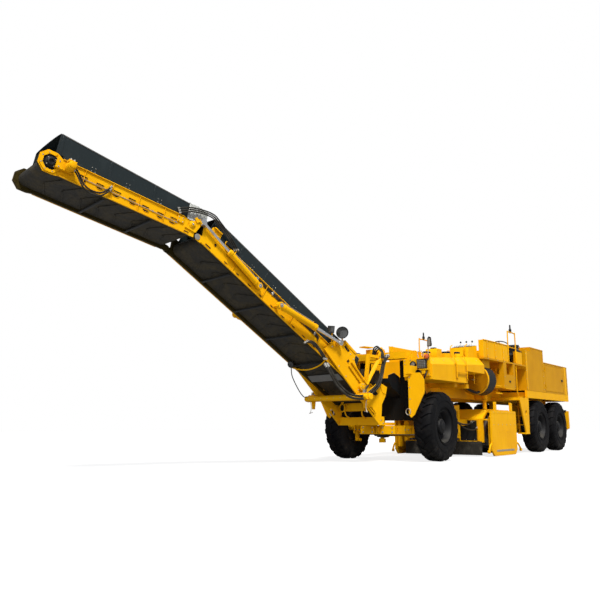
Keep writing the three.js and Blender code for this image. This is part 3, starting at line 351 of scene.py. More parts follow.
def canvas(name):
    """Woven grey-white cloth, soiled along its folds."""
    board = Board(name)
    warp = (board.part(board.place, "X") * 2600).sine() * (board.part(board.place, "Y") * 2600).sine()
    soil = board.noise(7, 6, 0.65).between(0.4, 0.75)
    color = board.mix(soil, (0.56, 0.57, 0.54), (0.2, 0.2, 0.18))
    return board.finish(color, 0.85, 0.0, board.bump(warp * 0.4 + board.noise(18, 4) * 3, 0.5, 0.002))


def glass(name, color, roughness=0.12, **extra):
    """A lamp's lens: clear skin over a ribbed coloured body."""
    board = Board(name)
    ribs = (board.part(board.place, "Y") * 420).sine()
    shade = board.mix(board.noise(14, 3).between(0.3, 0.8), color, tuple(c * 0.6 for c in color))
    return board.finish(shade, roughness, 0.0, board.bump(ribs, 0.3, 0.002), coat_weight=0.8, **extra)


YELLOW = enamel("yellow_enamel", (0.96, 0.49, 0.004), (0.88, 0.41, 0.003), (0.98, 0.70, 0.18))
# Boom yellow, with painted shade on the conveyor frames' inner faces.
BOOM_YELLOW_SHADED_INSIDE = enamel("boom_enamel_shaded_inside", (0.96, 0.49, 0.004), (0.88, 0.41, 0.003), (0.98, 0.70, 0.18), 0.05,
                     (0.05, 0.036, 0.01))
# A darker copy of the yellow: painted shade for the hood, its doors and the deck.
HOOD_YELLOW_PAINTED_SHADE = enamel("hood_enamel_painted_shade", (0.68, 0.325, 0.003), (0.60, 0.27, 0.003), (0.9, 0.6, 0.12), 0.05)
# A still darker copy of the yellow: painted shade for the air cleaner's lid.
SHADED_YELLOW = enamel("shaded_enamel", (0.42, 0.17, 0.002), (0.34, 0.13, 0.002), (0.6, 0.35, 0.06), 0.04)
RIM = satin("rim_paint", (0.004, 0.004, 0.005), (0.014, 0.013, 0.012), 0.6, False)
DARK = satin("dark_satin", (0.008, 0.009, 0.010), (0.035, 0.033, 0.03))
# Pure black as painted shadow, drawn in openings, pipe mouths, vents and gaps.
SHADOW_BLACK = satin("painted_shadow_black", (0.002, 0.002, 0.002), (0.006, 0.006, 0.006), 0.8, False)
GREY = satin("grey_paint", (0.16, 0.16, 0.155), (0.3, 0.29, 0.27), 0.45)
COVER = satin("cover_satin", (0.014, 0.021, 0.023), (0.04, 0.052, 0.055), 0.42)
TYRE = rubber("tyre_rubber", (0.0045, 0.0045, 0.0055), (0.04, 0.036, 0.03), 0.25)
BELT = belt_rubber("belt_rubber")
HOSE = rubber("hose_rubber", (0.03, 0.027, 0.022), (0.13, 0.12, 0.10), 0.5, False)
CHROME = bare_metal("chrome_plate", (0.78, 0.79, 0.8), (0.35, 0.33, 0.3), 0.1)
STEEL = bare_metal("worn_steel", (0.33, 0.31, 0.29), (0.12, 0.075, 0.045), 0.42)
ZINC = bare_metal("zinc_fittings", (0.62, 0.6, 0.54), (0.3, 0.26, 0.2), 0.32)
VINYL = vinyl("black_vinyl", (0.012, 0.012, 0.013))
CANVAS = canvas("grey_canvas")
CLEAR_LENS = glass("clear_lens", (0.22, 0.23, 0.22))
DARK_LENS = glass("dark_lens", (0.012, 0.012, 0.008))
AMBER_LENS = glass("amber_lens", (0.75, 0.13, 0.01))
RED_LENS = glass("red_lens", (0.45, 0.01, 0.006))

FINISHES = {"yellow_paint": YELLOW, "dark_paint": DARK, "cover_paint": COVER, "tyre_rubber": TYRE,
            "belt_rubber": BELT, "chrome_rod": CHROME, "worn_steel": STEEL, "seat_vinyl": VINYL}
for subpart in frame["record"]["subparts"]:
    mesh = NODES[subpart["node"]].data
    mesh.materials.clear()
    mesh.materials.append(FINISHES[subpart["material_slot"]])
# The conveyor frames take the yellow with painted shade on their inner faces.
for node in ("lower_conveyor_frame", "upper_conveyor_frame"):
    NODES[node].data.materials[0] = BOOM_YELLOW_SHADED_INSIDE
# The hood, its doors and the deck take the darker painted-shade yellow.
for node in ("engine_hood", "left_engine_door", "right_engine_door", "operator_deck"):
    NODES[node].data.materials[0] = HOOD_YELLOW_PAINTED_SHADE


# ---------------------------------------------------------------- shapes
class Shape:
    """Vertices and faces gathered in one of the machine's frames, made into one piece at the end."""

    def __init__(self):
        self.verts = []
        self.faces = []
        self.paints = []
        self.paint = 0

    def add(self, verts, faces):
        start = len(self.verts)
        self.verts += [Vector(v) for v in verts]
        self.faces += [tuple(start + i for i in face) for face in faces]
        self.paints += [self.paint] * len(faces)
        return self

    def box(self, x0, x1, y0, y1, z0, z1):
        corners = [(x, y, z) for x in sorted((x0, x1)) for y in sorted((y0, y1)) for z in sorted((z0, z1))]
        return self.add(corners, [(0, 1, 3, 2), (4, 6, 7, 5), (0, 4, 5, 1), (2, 3, 7, 6), (0, 2, 6, 4),
                                  (1, 5, 7, 3)])

    def prism(self, outline, place, low, high):
        """An outline stretched from low to high; place turns (a, b, depth) into x, y, z."""
        count = len(outline)
        area = sum(outline[i][0] * outline[(i + 1) % count][1] - outline[(i + 1) % count][0] * outline[i][1]
                   for i in range(count))
        rim = [place(a, b, low) for a, b in outline] + [place(a, b, high) for a, b in outline]
        faces = [(i, (i + 1) % count, (i + 1) % count + count, i + count) for i in range(count)]
        faces += [tuple(reversed(range(count))), tuple(range(count, 2 * count))]
        start = len(self.faces)
        self.add(rim, faces)
        first, second, third = (Vector(place(*p)) - Vector(place(0, 0, 0)) for p in ((1, 0, 0), (0, 1, 0),
                (0, 0, 1)))
        if (first.cross(second).dot(third) > 0) != ((high > low) == (area > 0)):
            self.faces[start:] = [tuple(reversed(face)) for face in self.faces[start:]]
        return self

    def side(self, outline, y0, y1):
        """An outline in x and z, with its thickness along y."""
        return self.prism(outline, lambda a, b, d: (a, d, b), y0, y1)

    def flat(self, outline, z0, z1):
        return self.prism(outline, lambda a, b, d: (a, b, d), z0, z1)

    def front(self, outline, x0, x1):
        return self.prism(outline, lambda a, b, d: (d, a, b), x0, x1)

    def lathe(self, start, axis, profile, sides=24):
        """Radii at distances along an axis, turned into a closed body."""
        axis = Vector(axis).normalized()
        across = axis.orthogonal().normalized()
        other = axis.cross(across)
        start = Vector(start)
        verts, faces = [], []
        for along, radius in profile:
            for i in range(sides):
                angle = 2 * math.pi * i / sides
                verts.append(start + axis * along + (across * math.cos(angle) + other * math.sin(angle)) * radius)
        for ring in range(len(profile) - 1):
            for i in range(sides):
                j = (i + 1) % sides
                faces.append((ring * sides + i, ring * sides + j, (ring + 1) * sides + j,
                              (ring + 1) * sides + i))
        faces.append(tuple(reversed(range(sides))))
        faces.append(tuple((len(profile) - 1) * sides + i for i in range(sides)))
        return self.add(verts, faces)

    def rod(self, start, end, radius, sides=16):
        start, end = Vector(start), Vector(end)
        length = (end - start).length
        edge = min(radius * 0.12, length * 0.2)
        return self.lathe(start, end - start, [(0, radius - edge), (edge, radius), (length - edge, radius),
                                               (length, radius - edge)], sides)

    def bolt(self, place, axis, size):
        """A washer and a six-sided head that stands out along axis."""
        self.lathe(place, axis, [(0, size), (size * 0.18, size)], 14)
        return self.lathe(place, axis, [(0, size * 0.8), (size * 0.62, size * 0.8),
                                        (size * 0.75, size * 0.66)], 6)

    def tube(self, points, radius, sides=10, smooth=6, closed_ends=True):
        """A round tube on a smooth curve through the points."""
        path = curve_through(points, smooth)
        verts, faces = [], []
        direction = (path[1] - path[0]).normalized()
        across = direction.orthogonal().normalized()
        for i, point in enumerate(path):
            ahead = (path[min(i + 1, len(path) - 1)] - path[max(i - 1, 0)]).normalized()
            across = (across - ahead * across.dot(ahead)).normalized()
            other = ahead.cross(across)
            for k in range(sides):
                angle = 2 * math.pi * k / sides
                verts.append(point + (across * math.cos(angle) + other * math.sin(angle)) * radius)
        for ring in range(len(path) - 1):
            for k in range(sides):
                j = (k + 1) % sides
                faces.append((ring * sides + k, ring * sides + j, (ring + 1) * sides + j,
                              (ring + 1) * sides + k))
        if closed_ends:
            faces.append(tuple(reversed(range(sides))))
            faces.append(tuple((len(path) - 1) * sides + k for k in range(sides)))
        return self.add(verts, faces)

    def make(self, name, body, grid, materials, bevel=0.003, smooth=35, slot_name=None, both_sides=False):
        """Turns what was gathered into one piece that rides on a body."""
        data = bpy.data.meshes.new(name)
        data.from_pydata([grid @ v for v in self.verts], [], self.faces)
        for material in materials if isinstance(materials, (list, tuple)) else [materials]:
            data.materials.append(material)
        for polygon, paint in zip(data.polygons, self.paints):
            polygon.material_index = paint
            polygon.use_smooth = True
        data.validate()
        piece = bpy.data.objects.new(name, data)
        bpy.context.scene.collection.objects.link(piece)
        if bevel:
            rounding = piece.modifiers.new("edges", "BEVEL")
            rounding.width = bevel
            rounding.segments = 1
            rounding.limit_method = "ANGLE"
            rounding.angle_limit = math.radians(smooth)
            rounding.use_clamp_overlap = True
        data.set_sharp_from_angle(angle=math.radians(smooth))
        if body:
            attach(piece, body)
        return piece


def curve_through(points, steps):
    """Points on a smooth curve through the given ones."""
    points = [Vector(p) for p in points]
    if steps <= 1 or len(points) < 3:
        return points
    path = []
    ends = [points[0] * 2 - points[1]] + points + [points[-1] * 2 - points[-2]]
    for i in range(1, len(ends) - 2):
        a, b, c, d = ends[i - 1:i + 3]
        for k in range(steps):
            t = k / steps
            path.append(((b * 2) + (c - a) * t + (a * 2 - b * 5 + c * 4 - d) * t * t
                         + (b * 3 - a - c * 3 + d) * t * t * t) / 2)
    return path + [points[-1]]


# ---------------------------------------------------------------- wheels
def tyre_profile():
    """Radius and distance out from the tyre's middle, over the casing from inner bead to outer bead."""
    half = TYRE_WIDTH / 2
    return [(0.312, 0.13), (0.33, 0.165), (0.38, 0.186), (0.45, half - 0.002), (0.53, half - 0.004),
            (0.59, 0.184),
            (0.63, 0.168), (0.652, 0.14), (0.657, 0.07), (0.658, 0.0)]


def ring_of(shape, profile, sides=96):
    """Turns (radius, out) about the axle, leaving the ends open."""
    verts, faces = [], []
    for radius, out in profile:
        for i in range(sides):
            angle = 2 * math.pi * i / sides
            verts.append((radius * math.cos(angle), out, radius * math.sin(angle)))
    for ring in range(len(profile) - 1):
        for i in range(sides):
            j = (i + 1) % sides
            faces.append((ring * sides + i, ring * sides + j, (ring + 1) * sides + j, (ring + 1) * sides + i))
    return shape.add(verts, faces)


LUGS = 20


def add_lugs(shape, sign):
    """Heavy chevron lugs: each runs from the tread's middle back and out over the shoulder."""
    for half in (1, -1):
        for i in range(LUGS):
            start = 2 * math.pi * (i + (0 if half > 0 else 0.5)) / LUGS
            # (distance out, turn back, half thickness of the lug in turn, height)
            rows = [(-0.012, -0.02, 0.050, 0.682), (0.06, 0.055, 0.056, 0.684), (0.125, 0.115, 0.066, 0.678),
                    (0.17, 0.15, 0.076, 0.652), (0.187, 0.16, 0.082, 0.60), (0.191, 0.165, 0.07, 0.566)]
            verts = []
            for out, turn, thick, radius in rows:
                sink = 0.045 if radius > 0.64 else 0.03
                for side in (-1, 1):
                    for deep in (0, 1):
                        angle = start + (turn + side * thick * (0.86 if not deep else 1.0)) * sign
                        r = radius - sink * deep
                        o = (out - (0.012 * deep if radius < 0.64 else 0)) * half
                        verts.append((r * math.cos(angle), o, r * math.sin(angle)))
            faces = []
            for k in range(len(rows) - 1):
                a, b = 4 * k, 4 * (k + 1)
                faces += [(a, a + 2, b + 2, b), (a + 1, b + 1, b + 3, a + 3), (a, b, b + 1, a + 1),
                          (a + 2, a + 3, b + 3, b + 2)]
            last = 4 * (len(rows) - 1)
            faces += [(0, 1, 3, 2), (last, last + 2, last + 3, last + 1)]
            if half * sign < 0:
                faces = [tuple(reversed(f)) for f in faces]
            shape.add(verts, faces)
    return shape


def add_wheels():
    axles = {"front": 0.0, "middle": -6.05, "rear": -7.714}
    for axle, x in axles.items():
        for side, sign in SIDES:
            middle = MACHINE @ Vector((x, sign * WHEEL_TRACK / 2, TYRE_RADIUS))
            grid = Matrix.Translation(middle) @ Matrix.Scale(sign, 4, (0, 1, 0))
            body = f"{axle}_{side}_wheel"
            tyre = Shape()
            outer = tyre_profile()
            ring_of(tyre, outer + [(r, -o) for r, o in reversed(outer[:-1])])
            for radius in (0.36, 0.372, 0.5, 0.508):
                bead = [(radius - 0.004, 0.172 if radius < 0.45 else 0.193),
                        (radius, 0.19 if radius < 0.4 else 0.1975),
                        (radius + 0.004, 0.176 if radius < 0.45 else 0.193)]
                ring_of(tyre, bead)
            add_lugs(tyre, 1)
            piece = tyre.make(f"{body}_tyre", body, grid, TYRE, bevel=0.0, smooth=40)
            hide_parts(f"{axle}_{side}_wheel")
            if sign < 0:
                piece.data.flip_normals()
            rim = Shape()
            ring_of(rim, [(0.30, -0.15), (0.318, -0.165), (0.322, -0.16), (0.30, -0.13), (0.285, -0.06),
                          (0.282, 0.06),
                          (0.296, 0.12), (0.312, 0.142), (0.326, 0.165), (0.318, 0.17), (0.302, 0.15),
                          (0.284, 0.115),
                          (0.272, 0.06), (0.262, 0.035), (0.21, 0.02), (0.17, 0.026), (0.15, 0.05),
                          (0.15, 0.095),
                          (0.13, 0.125), (0.085, 0.135), (0.07, 0.15), (0.03, 0.152), (0.0, 0.152)], 64)
            ring_of(rim, [(0.272, -0.10), (0.20, -0.06), (0.14, -0.05), (0.0, -0.05)], 48)
            for i in range(10):
                angle = 2 * math.pi * (i + 0.5) / 10
                rim.bolt((0.195 * math.cos(angle), 0.021, 0.195 * math.sin(angle)), (0, 1, 0), 0.02)
            for i in range(8):
                angle = 2 * math.pi * i / 8
                rim.bolt((0.105 * math.cos(angle), 0.128, 0.105 * math.sin(angle)), (0, 1, 0), 0.009)
            for i in range(6):
                angle = 2 * math.pi * (i + 0.25) / 6
                cut = [(0.237 + 0.02 * math.cos(t), 0.02 * math.sin(t)) for t in
                       [2 * math.pi * k / 10 for k in range(10)]]
                spot = [(a * math.cos(angle) - b * math.sin(angle), a * math.sin(angle) + b * math.cos(angle))
                        for a, b in cut]
                rim.side(spot, 0.022, 0.031)
            rim.tube([(0.285, 0.06, 0.03), (0.27, 0.09, 0.03), (0.262, 0.12, 0.035)], 0.006, 8, 4)
            disc = rim.make(f"{body}_rim", body, grid, RIM, bevel=0.0, smooth=35)
            if sign < 0:
                disc.data.flip_normals()


add_camera()
add_sun("key_sun", (-0.40, -0.42, -0.88), 3.9, 14, (1.0, 0.98, 0.94))
add_sun("fill_sun", (-0.85, -0.45, -0.1), 0.65, 50, (0.97, 0.98, 1.0))
add_wheels()

# ---------------------------------------------------------------- discharge conveyor
FACE = 0.5  # outer faces of the conveyor's side frames
FLANGE = 0.022
LOWER_EDGE, LOWER_TOP = -0.075, 0.225
UPPER_EDGE, UPPER_TOP = -0.04, 0.23
HEAD = (2.5, 0.11)
COVER_HALF = 0.485
SECTIONS = {
    "lower": {"grid": LOWER, "body": "lower_boom",
              "runs": [(-0.45, 4.24, LOWER_EDGE), (-0.5, 3.85, LOWER_TOP - 0.012)],
              "belt": (-0.38, 4.12, -0.035, 0.185), "cover": (0.25, 4.21, 0.2253, 0.252, 0.252)},
    "upper": {"grid": UPPER, "body": "upper_boom",
              "runs": [(0.18, 2.34, UPPER_EDGE), (0.30, 2.34, UPPER_TOP - 0.012)],
              "belt": (0.17, 2.46, 0.0, 0.22), "cover": (0.06, 2.46, 0.2303, 0.246, 0.362)},
}


def add_frame_flanges(name, section):
    """Channel lips and stiffeners along a section's side frames."""
    shape = Shape()
    for side in (1, -1):
        for start, end, low in section["runs"]:
            shape.box(start, end, side * FACE, side * (FACE + FLANGE), low, low + 0.012)
        low, high = section["runs"][0][2] + 0.012, section["runs"][1][2]
        count = 6 if name == "lower" else 4
        for i in range(count):
            u = section["runs"][1][0] + 0.35 + i * (section["runs"][1][1] - section["runs"][1][0] - 0.7) / (count - 1)
            shape.box(u, u + 0.008, side * FACE, side * (FACE + FLANGE - 0.004), low, high)
    shape.make(f"{name}_frame_flanges", section["body"], section["grid"], BOOM_YELLOW_SHADED_INSIDE, bevel=0.0015)


def add_belt_cleats(name, section):
    start, end, under, over = section["belt"]
    shape = Shape()
    u = start
    while u < end - 0.16:
        for side in (1, -1):
            for low, high, lean in ((under - 0.011, under + 0.002, 0.15), (over - 0.002, over + 0.011, 0.15)):
                bar = [(u + lean, side * 0.012), (u + lean + 0.026, side * 0.012), (u + 0.026, side * 0.385),
                       (u, side * 0.385)]
                shape.flat(bar, low, high)
        u += 0.29
    shape.make(f"{name}_belt_cleats", section["body"], section["grid"], BELT, bevel=0.004)


def cover_height(section, u):
    start, end, foot, rear, front = section["cover"]
    return foot + rear + (front - rear) * (u - start) / (end - start)


def cover_arch(section, u, off, count=14):
    """Points across the cover's outside at u, off clear of it, from the left foot over to the right foot."""
    foot = section["cover"][2]
    top = cover_height(section, u)
    points = [(COVER_HALF + off, foot + 0.012)]
    for i in range(count + 1):
        angle = math.pi * i / count
        points.append(((COVER_HALF + off) * math.cos(angle), top + (0.036 + off) * math.sin(angle)))
    return points + [(-COVER_HALF - off, foot + 0.012)]


def add_cover_trim(name, section):
    """Bands over the cover, a grey rolled edge along each shoulder as a painted highlight, a foot angle and its
    rivets.
    """
    start, end, foot, _, _ = section["cover"]
    bands = Shape()
    count = 7 if name == "lower" else 4
    for i in range(count):
        u = start + 0.03 + (end - start - 0.1) * i / (count - 1)
        outer, inner = cover_arch(section, u, 0.005), cover_arch(section, u, -0.001)
        bands.front(outer + inner[::-1], u, u + 0.04)
    for side in (1, -1):
        y = side * (COVER_HALF + 0.001)
        bands.box(start + 0.02, end - 0.02 if name == "lower" else 2.33, y, y + side * 0.006, foot + 0.004,
                  foot + 0.05)
    bands.make(f"{name}_cover_bands", section["body"], section["grid"], COVER, bevel=0.001)
    # Painted highlight: a grey rolled edge along each shoulder stands in for the light caught by the cover's top
    # edge.
    edge_highlights = Shape()
    for side in (1, -1):
        points = []
        for i in range(13):
            u = start + 0.01 + (end - start - 0.02) * i / 12
            points.append((u, side * (COVER_HALF + 0.001), cover_height(section, u) - 0.004))
        edge_highlights.tube(points, 0.009, 8, 1)
    edge_highlights.make(f"{name}_cover_edge_highlights", section["body"], section["grid"], GREY, bevel=0)
    rivets = Shape()
    for side in (1, -1):
        u = start + 0.12
        while u < end - 0.1:
            for step in (0, 0.055):
                rivets.bolt((u + step, side * (COVER_HALF + 0.006), foot + 0.03), (0, side, 0), 0.008)
                rivets.bolt((u + step, side * (COVER_HALF + 0.001), foot + 0.09), (0, side, 0), 0.007)
            u += 0.56
    rivets.make(f"{name}_cover_rivets", section["body"], section["grid"], ZINC, bevel=0)


def half_round(u, v, width, height):
    """A slot with a flat top and a round bottom."""
    arc = [(u + width / 2 * math.cos(a), v + height * math.sin(a)) for a in
           [math.pi + math.pi * k / 8 for k in range(9)]]
    return [(a, b + height / 2) for a, b in arc]


def squarish(u, v, width, height):
    return [(u - width / 2, v - height / 2), (u + width / 2, v - height / 2), (u + width / 2, v + height / 2),
            (u - width / 2, v + height / 2)]


def add_openings(name, body, grid, outlines, face=FACE, lip=0.0045):
    """Openings in a plate's outer face, drawn as thin plates of painted-shadow black, each in a rolled lip."""
    holes, lips = Shape(), Shape()
    for side in (1, -1):
        for outline in outlines:
            holes.side(outline, side * (face - 0.002), side * (face + 0.0015))
            ring = [(a, side * (face + 0.002), b) for a, b in outline]
            lips.tube(ring + ring[:1], lip, 6, 1)
    holes.make(f"{name}_openings", body, grid, SHADOW_BLACK, bevel=0)
    lips.make(f"{name}_opening_lips", body, grid, YELLOW, bevel=0)


UPPER_SLOTS = [(1.464, .108, 1.476, .049), (1.211, .099, 1.198, .049), (0.978, .086, 0.965, .035),
               (0.714, .088, 0.716, .031), (0.477, .106, 0.489, .036)]


def add_frame_openings():
    upper = []
    for a, b, c, d in UPPER_SLOTS:
        upper += [squarish(a, b + 0.012, 0.12, 0.028), half_round(c, d, 0.12, 0.036)]
    for a, b in ((1.74, 0.1), (2.0, 0.105)):
        upper += [squarish(a, b + 0.012, 0.12, 0.028), half_round(a, b - 0.05, 0.12, 0.036)]
    upper.append(squarish(0.216, 0.001, 0.09, 0.026))
    add_openings("upper_frame", "upper_boom", UPPER, upper)
    ring = [(3.987 + 0.03 * math.cos(a),
             0.085 + 0.03 * math.sin(a)) for a in [2 * math.pi * k / 12 for k in range(12)]]
    lower = [squarish(4.088, -0.028, 0.12, 0.032), ring]
    for i in range(9):
        lower.append(half_round(1.35 + i * 0.29, -0.03, 0.1, 0.03))
    add_openings("lower_frame", "lower_boom", LOWER, lower)
    rail = Shape()
    for side in (1, -1):
        rail.rod((0.40, side * 0.509, 0.073), (2.08, side * 0.509, 0.082), 0.0055, 8)
        for u in (0.42, 0.84, 1.09, 1.33, 1.62, 2.06):
            rail.box(u, u + 0.02, side * 0.5, side * 0.513, 0.066, 0.09)
    rail.make("upper_frame_line", "upper_boom", UPPER, ZINC, bevel=0)


def add_head():
    """Raised rims, take-up bearings and the drive motor at the head drum."""
    u0, v0 = HEAD
    rims, wells, bearings, bolts = Shape(), Shape(), Shape(), Shape()
    eight = [math.radians(22.5 + 45 * k) for k in range(8)]
    for side in (1, -1):
        gap = (2, 3)
        for k in range(8):
            if k in gap or side < 0:
                continue
            a, b = eight[k], eight[(k + 1) % 8]
            spots = [(u0 + r * math.cos(t), v0 + r * math.sin(t)) for r,
                     t in ((0.165, a), (0.165, b), (0.118, b), (0.118, a))]
            rims.side(spots, side * (FACE - 0.001), side * (FACE + 0.016))
        disc = [(u0 + 0.117 * math.cos(2 * math.pi * k / 24),
                 v0 + 0.117 * math.sin(2 * math.pi * k / 24)) for k in range(24)]
        wells.side(disc, side * (FACE - 0.001), side * (FACE + 0.002))
        proud = 1 if side > 0 else 0.3
        bearings.lathe((u0, side * FACE, v0), (0, side, 0),
                       [(proud * out, radius) for out,
                        radius in ((0, 0.082), (0.018, 0.082), (0.022, 0.062), (0.045, 0.058), (0.05, 0.05),
                                                                  (0.05, 0.034), (0.03, 0.032),
                                                                  (0.03, 0.0005))], 28)
        bearings.side([(u0 - 0.115, v0 - 0.03), (u0 - 0.06, v0 - 0.05), (u0 - 0.06, v0 + 0.05),
                       (u0 - 0.115, v0 + 0.03)],
                      side * FACE, side * (FACE + 0.018 * proud))
        for k in range(4):
            angle = math.pi * (k + 0.5) / 2
            bolts.bolt((u0 + 0.07 * math.cos(angle), side * (FACE + 0.018 * proud),
                        v0 + 0.07 * math.sin(angle)), (0, side, 0), 0.011)
        bolts.rod((u0 - 0.36, side * (FACE + 0.012), v0 + 0.075),
                  (u0 - 0.10, side * (FACE + 0.012), v0 + 0.075), 0.007, 8)
        for k in range(8):
            t = eight[k]
            if k in gap or side < 0:
                continue
            bolts.bolt((u0 + 0.14 * math.cos(t), side * (FACE + 0.016), v0 + 0.14 * math.sin(t)),
                       (0, side, 0), 0.009)
    rims.make("head_plate_rims", "upper_boom", UPPER, BOOM_YELLOW_SHADED_INSIDE, bevel=0.002)
    # The wells are painted-shadow black discs standing in for the plate's open middle.
    wells.make("head_plate_wells", "upper_boom", UPPER, SHADOW_BLACK, bevel=0)
    bearings.make("head_bearings", "upper_boom", UPPER, DARK, bevel=0.001)
    bolts.make("head_bolts", "upper_boom", UPPER, ZINC, bevel=0)
    motor = Shape()
    motor.lathe((2.26, 0.695, v0), (0, 1, 0), [(0, 0.062), (0.012, 0.062), (0.016, 0.05), (0.045, 0.05),
                                               (0.05, 0.042), (0.05, 0.001)], 20)
    for k in range(3):
        motor.lathe((2.26, 0.585 + 0.03 * k, v0), (0, 1, 0),
                    [(0, 0.0615), (0.004, 0.066), (0.012, 0.066), (0.016, 0.0615)], 20)
    motor.box(2.20, 2.32, 0.60, 0.68, v0 + 0.045, v0 + 0.085)
    motor.make("head_motor_body", "upper_boom", UPPER, YELLOW, bevel=0.003)
    ports = Shape()
    for k in (0, 1):
        u = 2.235 + 0.05 * k
        ports.lathe((u, 0.64, v0 + 0.082), (0, 0, 1),
                    [(0, 0.022), (0.014, 0.022), (0.014, 0.017), (0.034, 0.017), (0.034, 0.012),
                     (0.036, 0.001)], 6)
    for du in (-0.085, 0.085):
        for dv in (-0.04, 0.04):
            ports.bolt((2.315 + du, 0.57, v0 + dv), (0, 1, 0), 0.012)
    ports.make("head_motor_ports", "upper_boom", UPPER, ZINC, bevel=0)


def add_boom_pipes():
    """Steel oil lines clamped along both side frames."""
    pipes, clamps = Shape(), Shape()
    for side in (1, -1):
        for k in range(3):
            v = 0.150 + 0.021 * k
            end = 3.72 - 0.05 * k
            pipes.tube([(1.34, side * 0.510, v - 0.05), (1.44, side * 0.510, v), (2.4, side * 0.510, v),
                        (3.4, side * 0.510, v),
                        (end, side * 0.510, v), (end + 0.10, side * 0.512, v + 0.02)], 0.0075, 8, 3)
        for u in (1.46, 1.95, 2.30, 2.62, 3.02, 3.45):
            clamps.box(u - 0.02, u + 0.02, side * 0.5, side * 0.521, 0.140, 0.207)
            clamps.bolt((u, side * 0.521, 0.174), (0, side, 0), 0.009)
    pipes.make("boom_oil_lines", "lower_boom", LOWER, HOSE, bevel=0)
    clamps.make("boom_line_clamps", "lower_boom", LOWER, ZINC, bevel=0.0015)


def add_cylinder_trim():
    """Glands, end caps, ports and feed pipes on the conveyor's cylinders."""
    cylinders = (
        ("luff", (2.45, 0.018), (0.947, 0.3293), 0.64, 0.9, 0.056, "luff_barrels"),
        ("fold", (2.95, 0.06), (4.3971, 0.2066), 0.56, 0.8, 0.05, "fold_barrels"),
    )
    for label, foot, eye, y, length, radius, body in cylinders:
        line = Vector((eye[0] - foot[0], 0, eye[1] - foot[1])).normalized()
        up = Vector((-line.z, 0, line.x)) * (1 if line.x > 0 else -1)
        trim, feed = Shape(), Shape()
        for side in (1, -1):
            start = Vector((foot[0], side * y, foot[1]))
            trim.lathe(start + line * (length - 0.06), line,
                       [(0, radius - 0.002), (0.003, radius + 0.008), (0.052, radius + 0.008),
                                                             (0.055, radius - 0.002), (0.066,
                                                                     radius - 0.012)], 24)
            trim.lathe(start + line * 0.075, line,
                       [(0, radius - 0.002), (0.003, radius + 0.006), (0.02, radius + 0.006),
                        (0.023, radius - 0.002)], 24)
            for at in (0.13, length - 0.10):
                spot = start + line * at + up * (radius - 0.004)
                trim.lathe(spot, up, [(0, 0.016), (0.016, 0.016), (0.016, 0.012), (0.024, 0.012),
                                      (0.024, 0.001)], 6)
            feed.tube([start + line * 0.13 + up * (radius + 0.018), start + line * 0.2 + up * (radius + 0.02),
                       start + line * (length - 0.2) + up * (radius + 0.02),
                       start + line * (length - 0.10) + up * (radius + 0.018)], 0.007, 8, 3)
        trim.make(f"{label}_barrel_trim", body, LOWER, YELLOW, bevel=0)
        feed.make(f"{label}_feed_pipes", body, LOWER, ZINC, bevel=0)
    pins = Shape()
    for side in (1, -1):
        for u, v, y in ((2.45, 0.018, 0.690), (2.95, 0.06, 0.600)):
            pins.lathe((u, side * (y - 0.001), v), (0, side, 0),
                       [(0, 0.036), (0.006, 0.036), (0.008, 0.03), (0.008, 0.001)], 18)
            pins.bolt((u, side * (y + 0.006), v), (0, side, 0), 0.012)
        pins.lathe((4.33, side * 0.501, -0.035), (0, side, 0),
                   [(0, 0.05), (0.008, 0.05), (0.01, 0.042), (0.01, 0.001)], 20)
    pins.make("boom_pin_caps", "lower_boom", LOWER, ZINC, bevel=0)


def add_fold_fittings():
    """Hinge bosses, latches and the hose bracket where the two sections meet."""
    plates, bolts = Shape(), Shape()
    for side in (1, -1):
        plates.lathe((0.146, side * 0.519, 0.15), (0, side, 0),
                     [(0, 0.06), (0.012, 0.06), (0.016, 0.04), (0.03, 0.036), (0.03, 0.001)], 24)
        plates.side([(0.02, 0.24), (0.09, 0.30), (0.13, 0.27), (0.07, 0.2)], side * 0.518, side * 0.536)
        plates.box(0.30, 0.42, side * 0.5, side * 0.52, 0.10, 0.20)
        for u, v in ((0.32, 0.12), (0.40, 0.12), (0.32, 0.18), (0.40, 0.18)):
            bolts.bolt((u, side * 0.52, v), (0, side, 0), 0.01)
        bolts.bolt((0.146, side * 0.549, 0.15), (0, side, 0), 0.018)
    plates.make("fold_hinge_plates", "upper_boom", UPPER, YELLOW, bevel=0.002)
    bolts.make("fold_hinge_bolts", "upper_boom", UPPER, ZINC, bevel=0)
    rack = Shape()
    for side in (1, -1):
        rack.side([(3.98, 0.225), (4.19, 0.225), (4.19, 0.30), (4.15, 0.34), (4.02, 0.34), (3.98, 0.30)],
                  side * 0.494, side * 0.508)
        rack.box(4.0, 4.17, side * 0.508, side * 0.55, 0.30, 0.318)
        rack.tube([(3.62, side * 0.515, 0.232), (3.64, side * 0.515, 0.29), (3.84, side * 0.515, 0.29),
                   (3.86, side * 0.515, 0.232)], 0.011, 8, 4)
    rack.make("fold_hose_racks", "lower_boom", LOWER, YELLOW, bevel=0.002)
    blocks = Shape()
    for side in (1, -1):
        blocks.box(3.70, 3.86, side * 0.508, side * 0.545, 0.235, 0.28)
        for k in range(3):
            blocks.lathe((3.73 + 0.05 * k, side * 0.53, 0.278), (0, 0, 1),
                         [(0, 0.013), (0.018, 0.013), (0.018, 0.009), (0.026, 0.009), (0.026, 0.001)], 6)
    blocks.make("fold_valve_blocks", "lower_boom", LOWER, DARK, bevel=0.002)


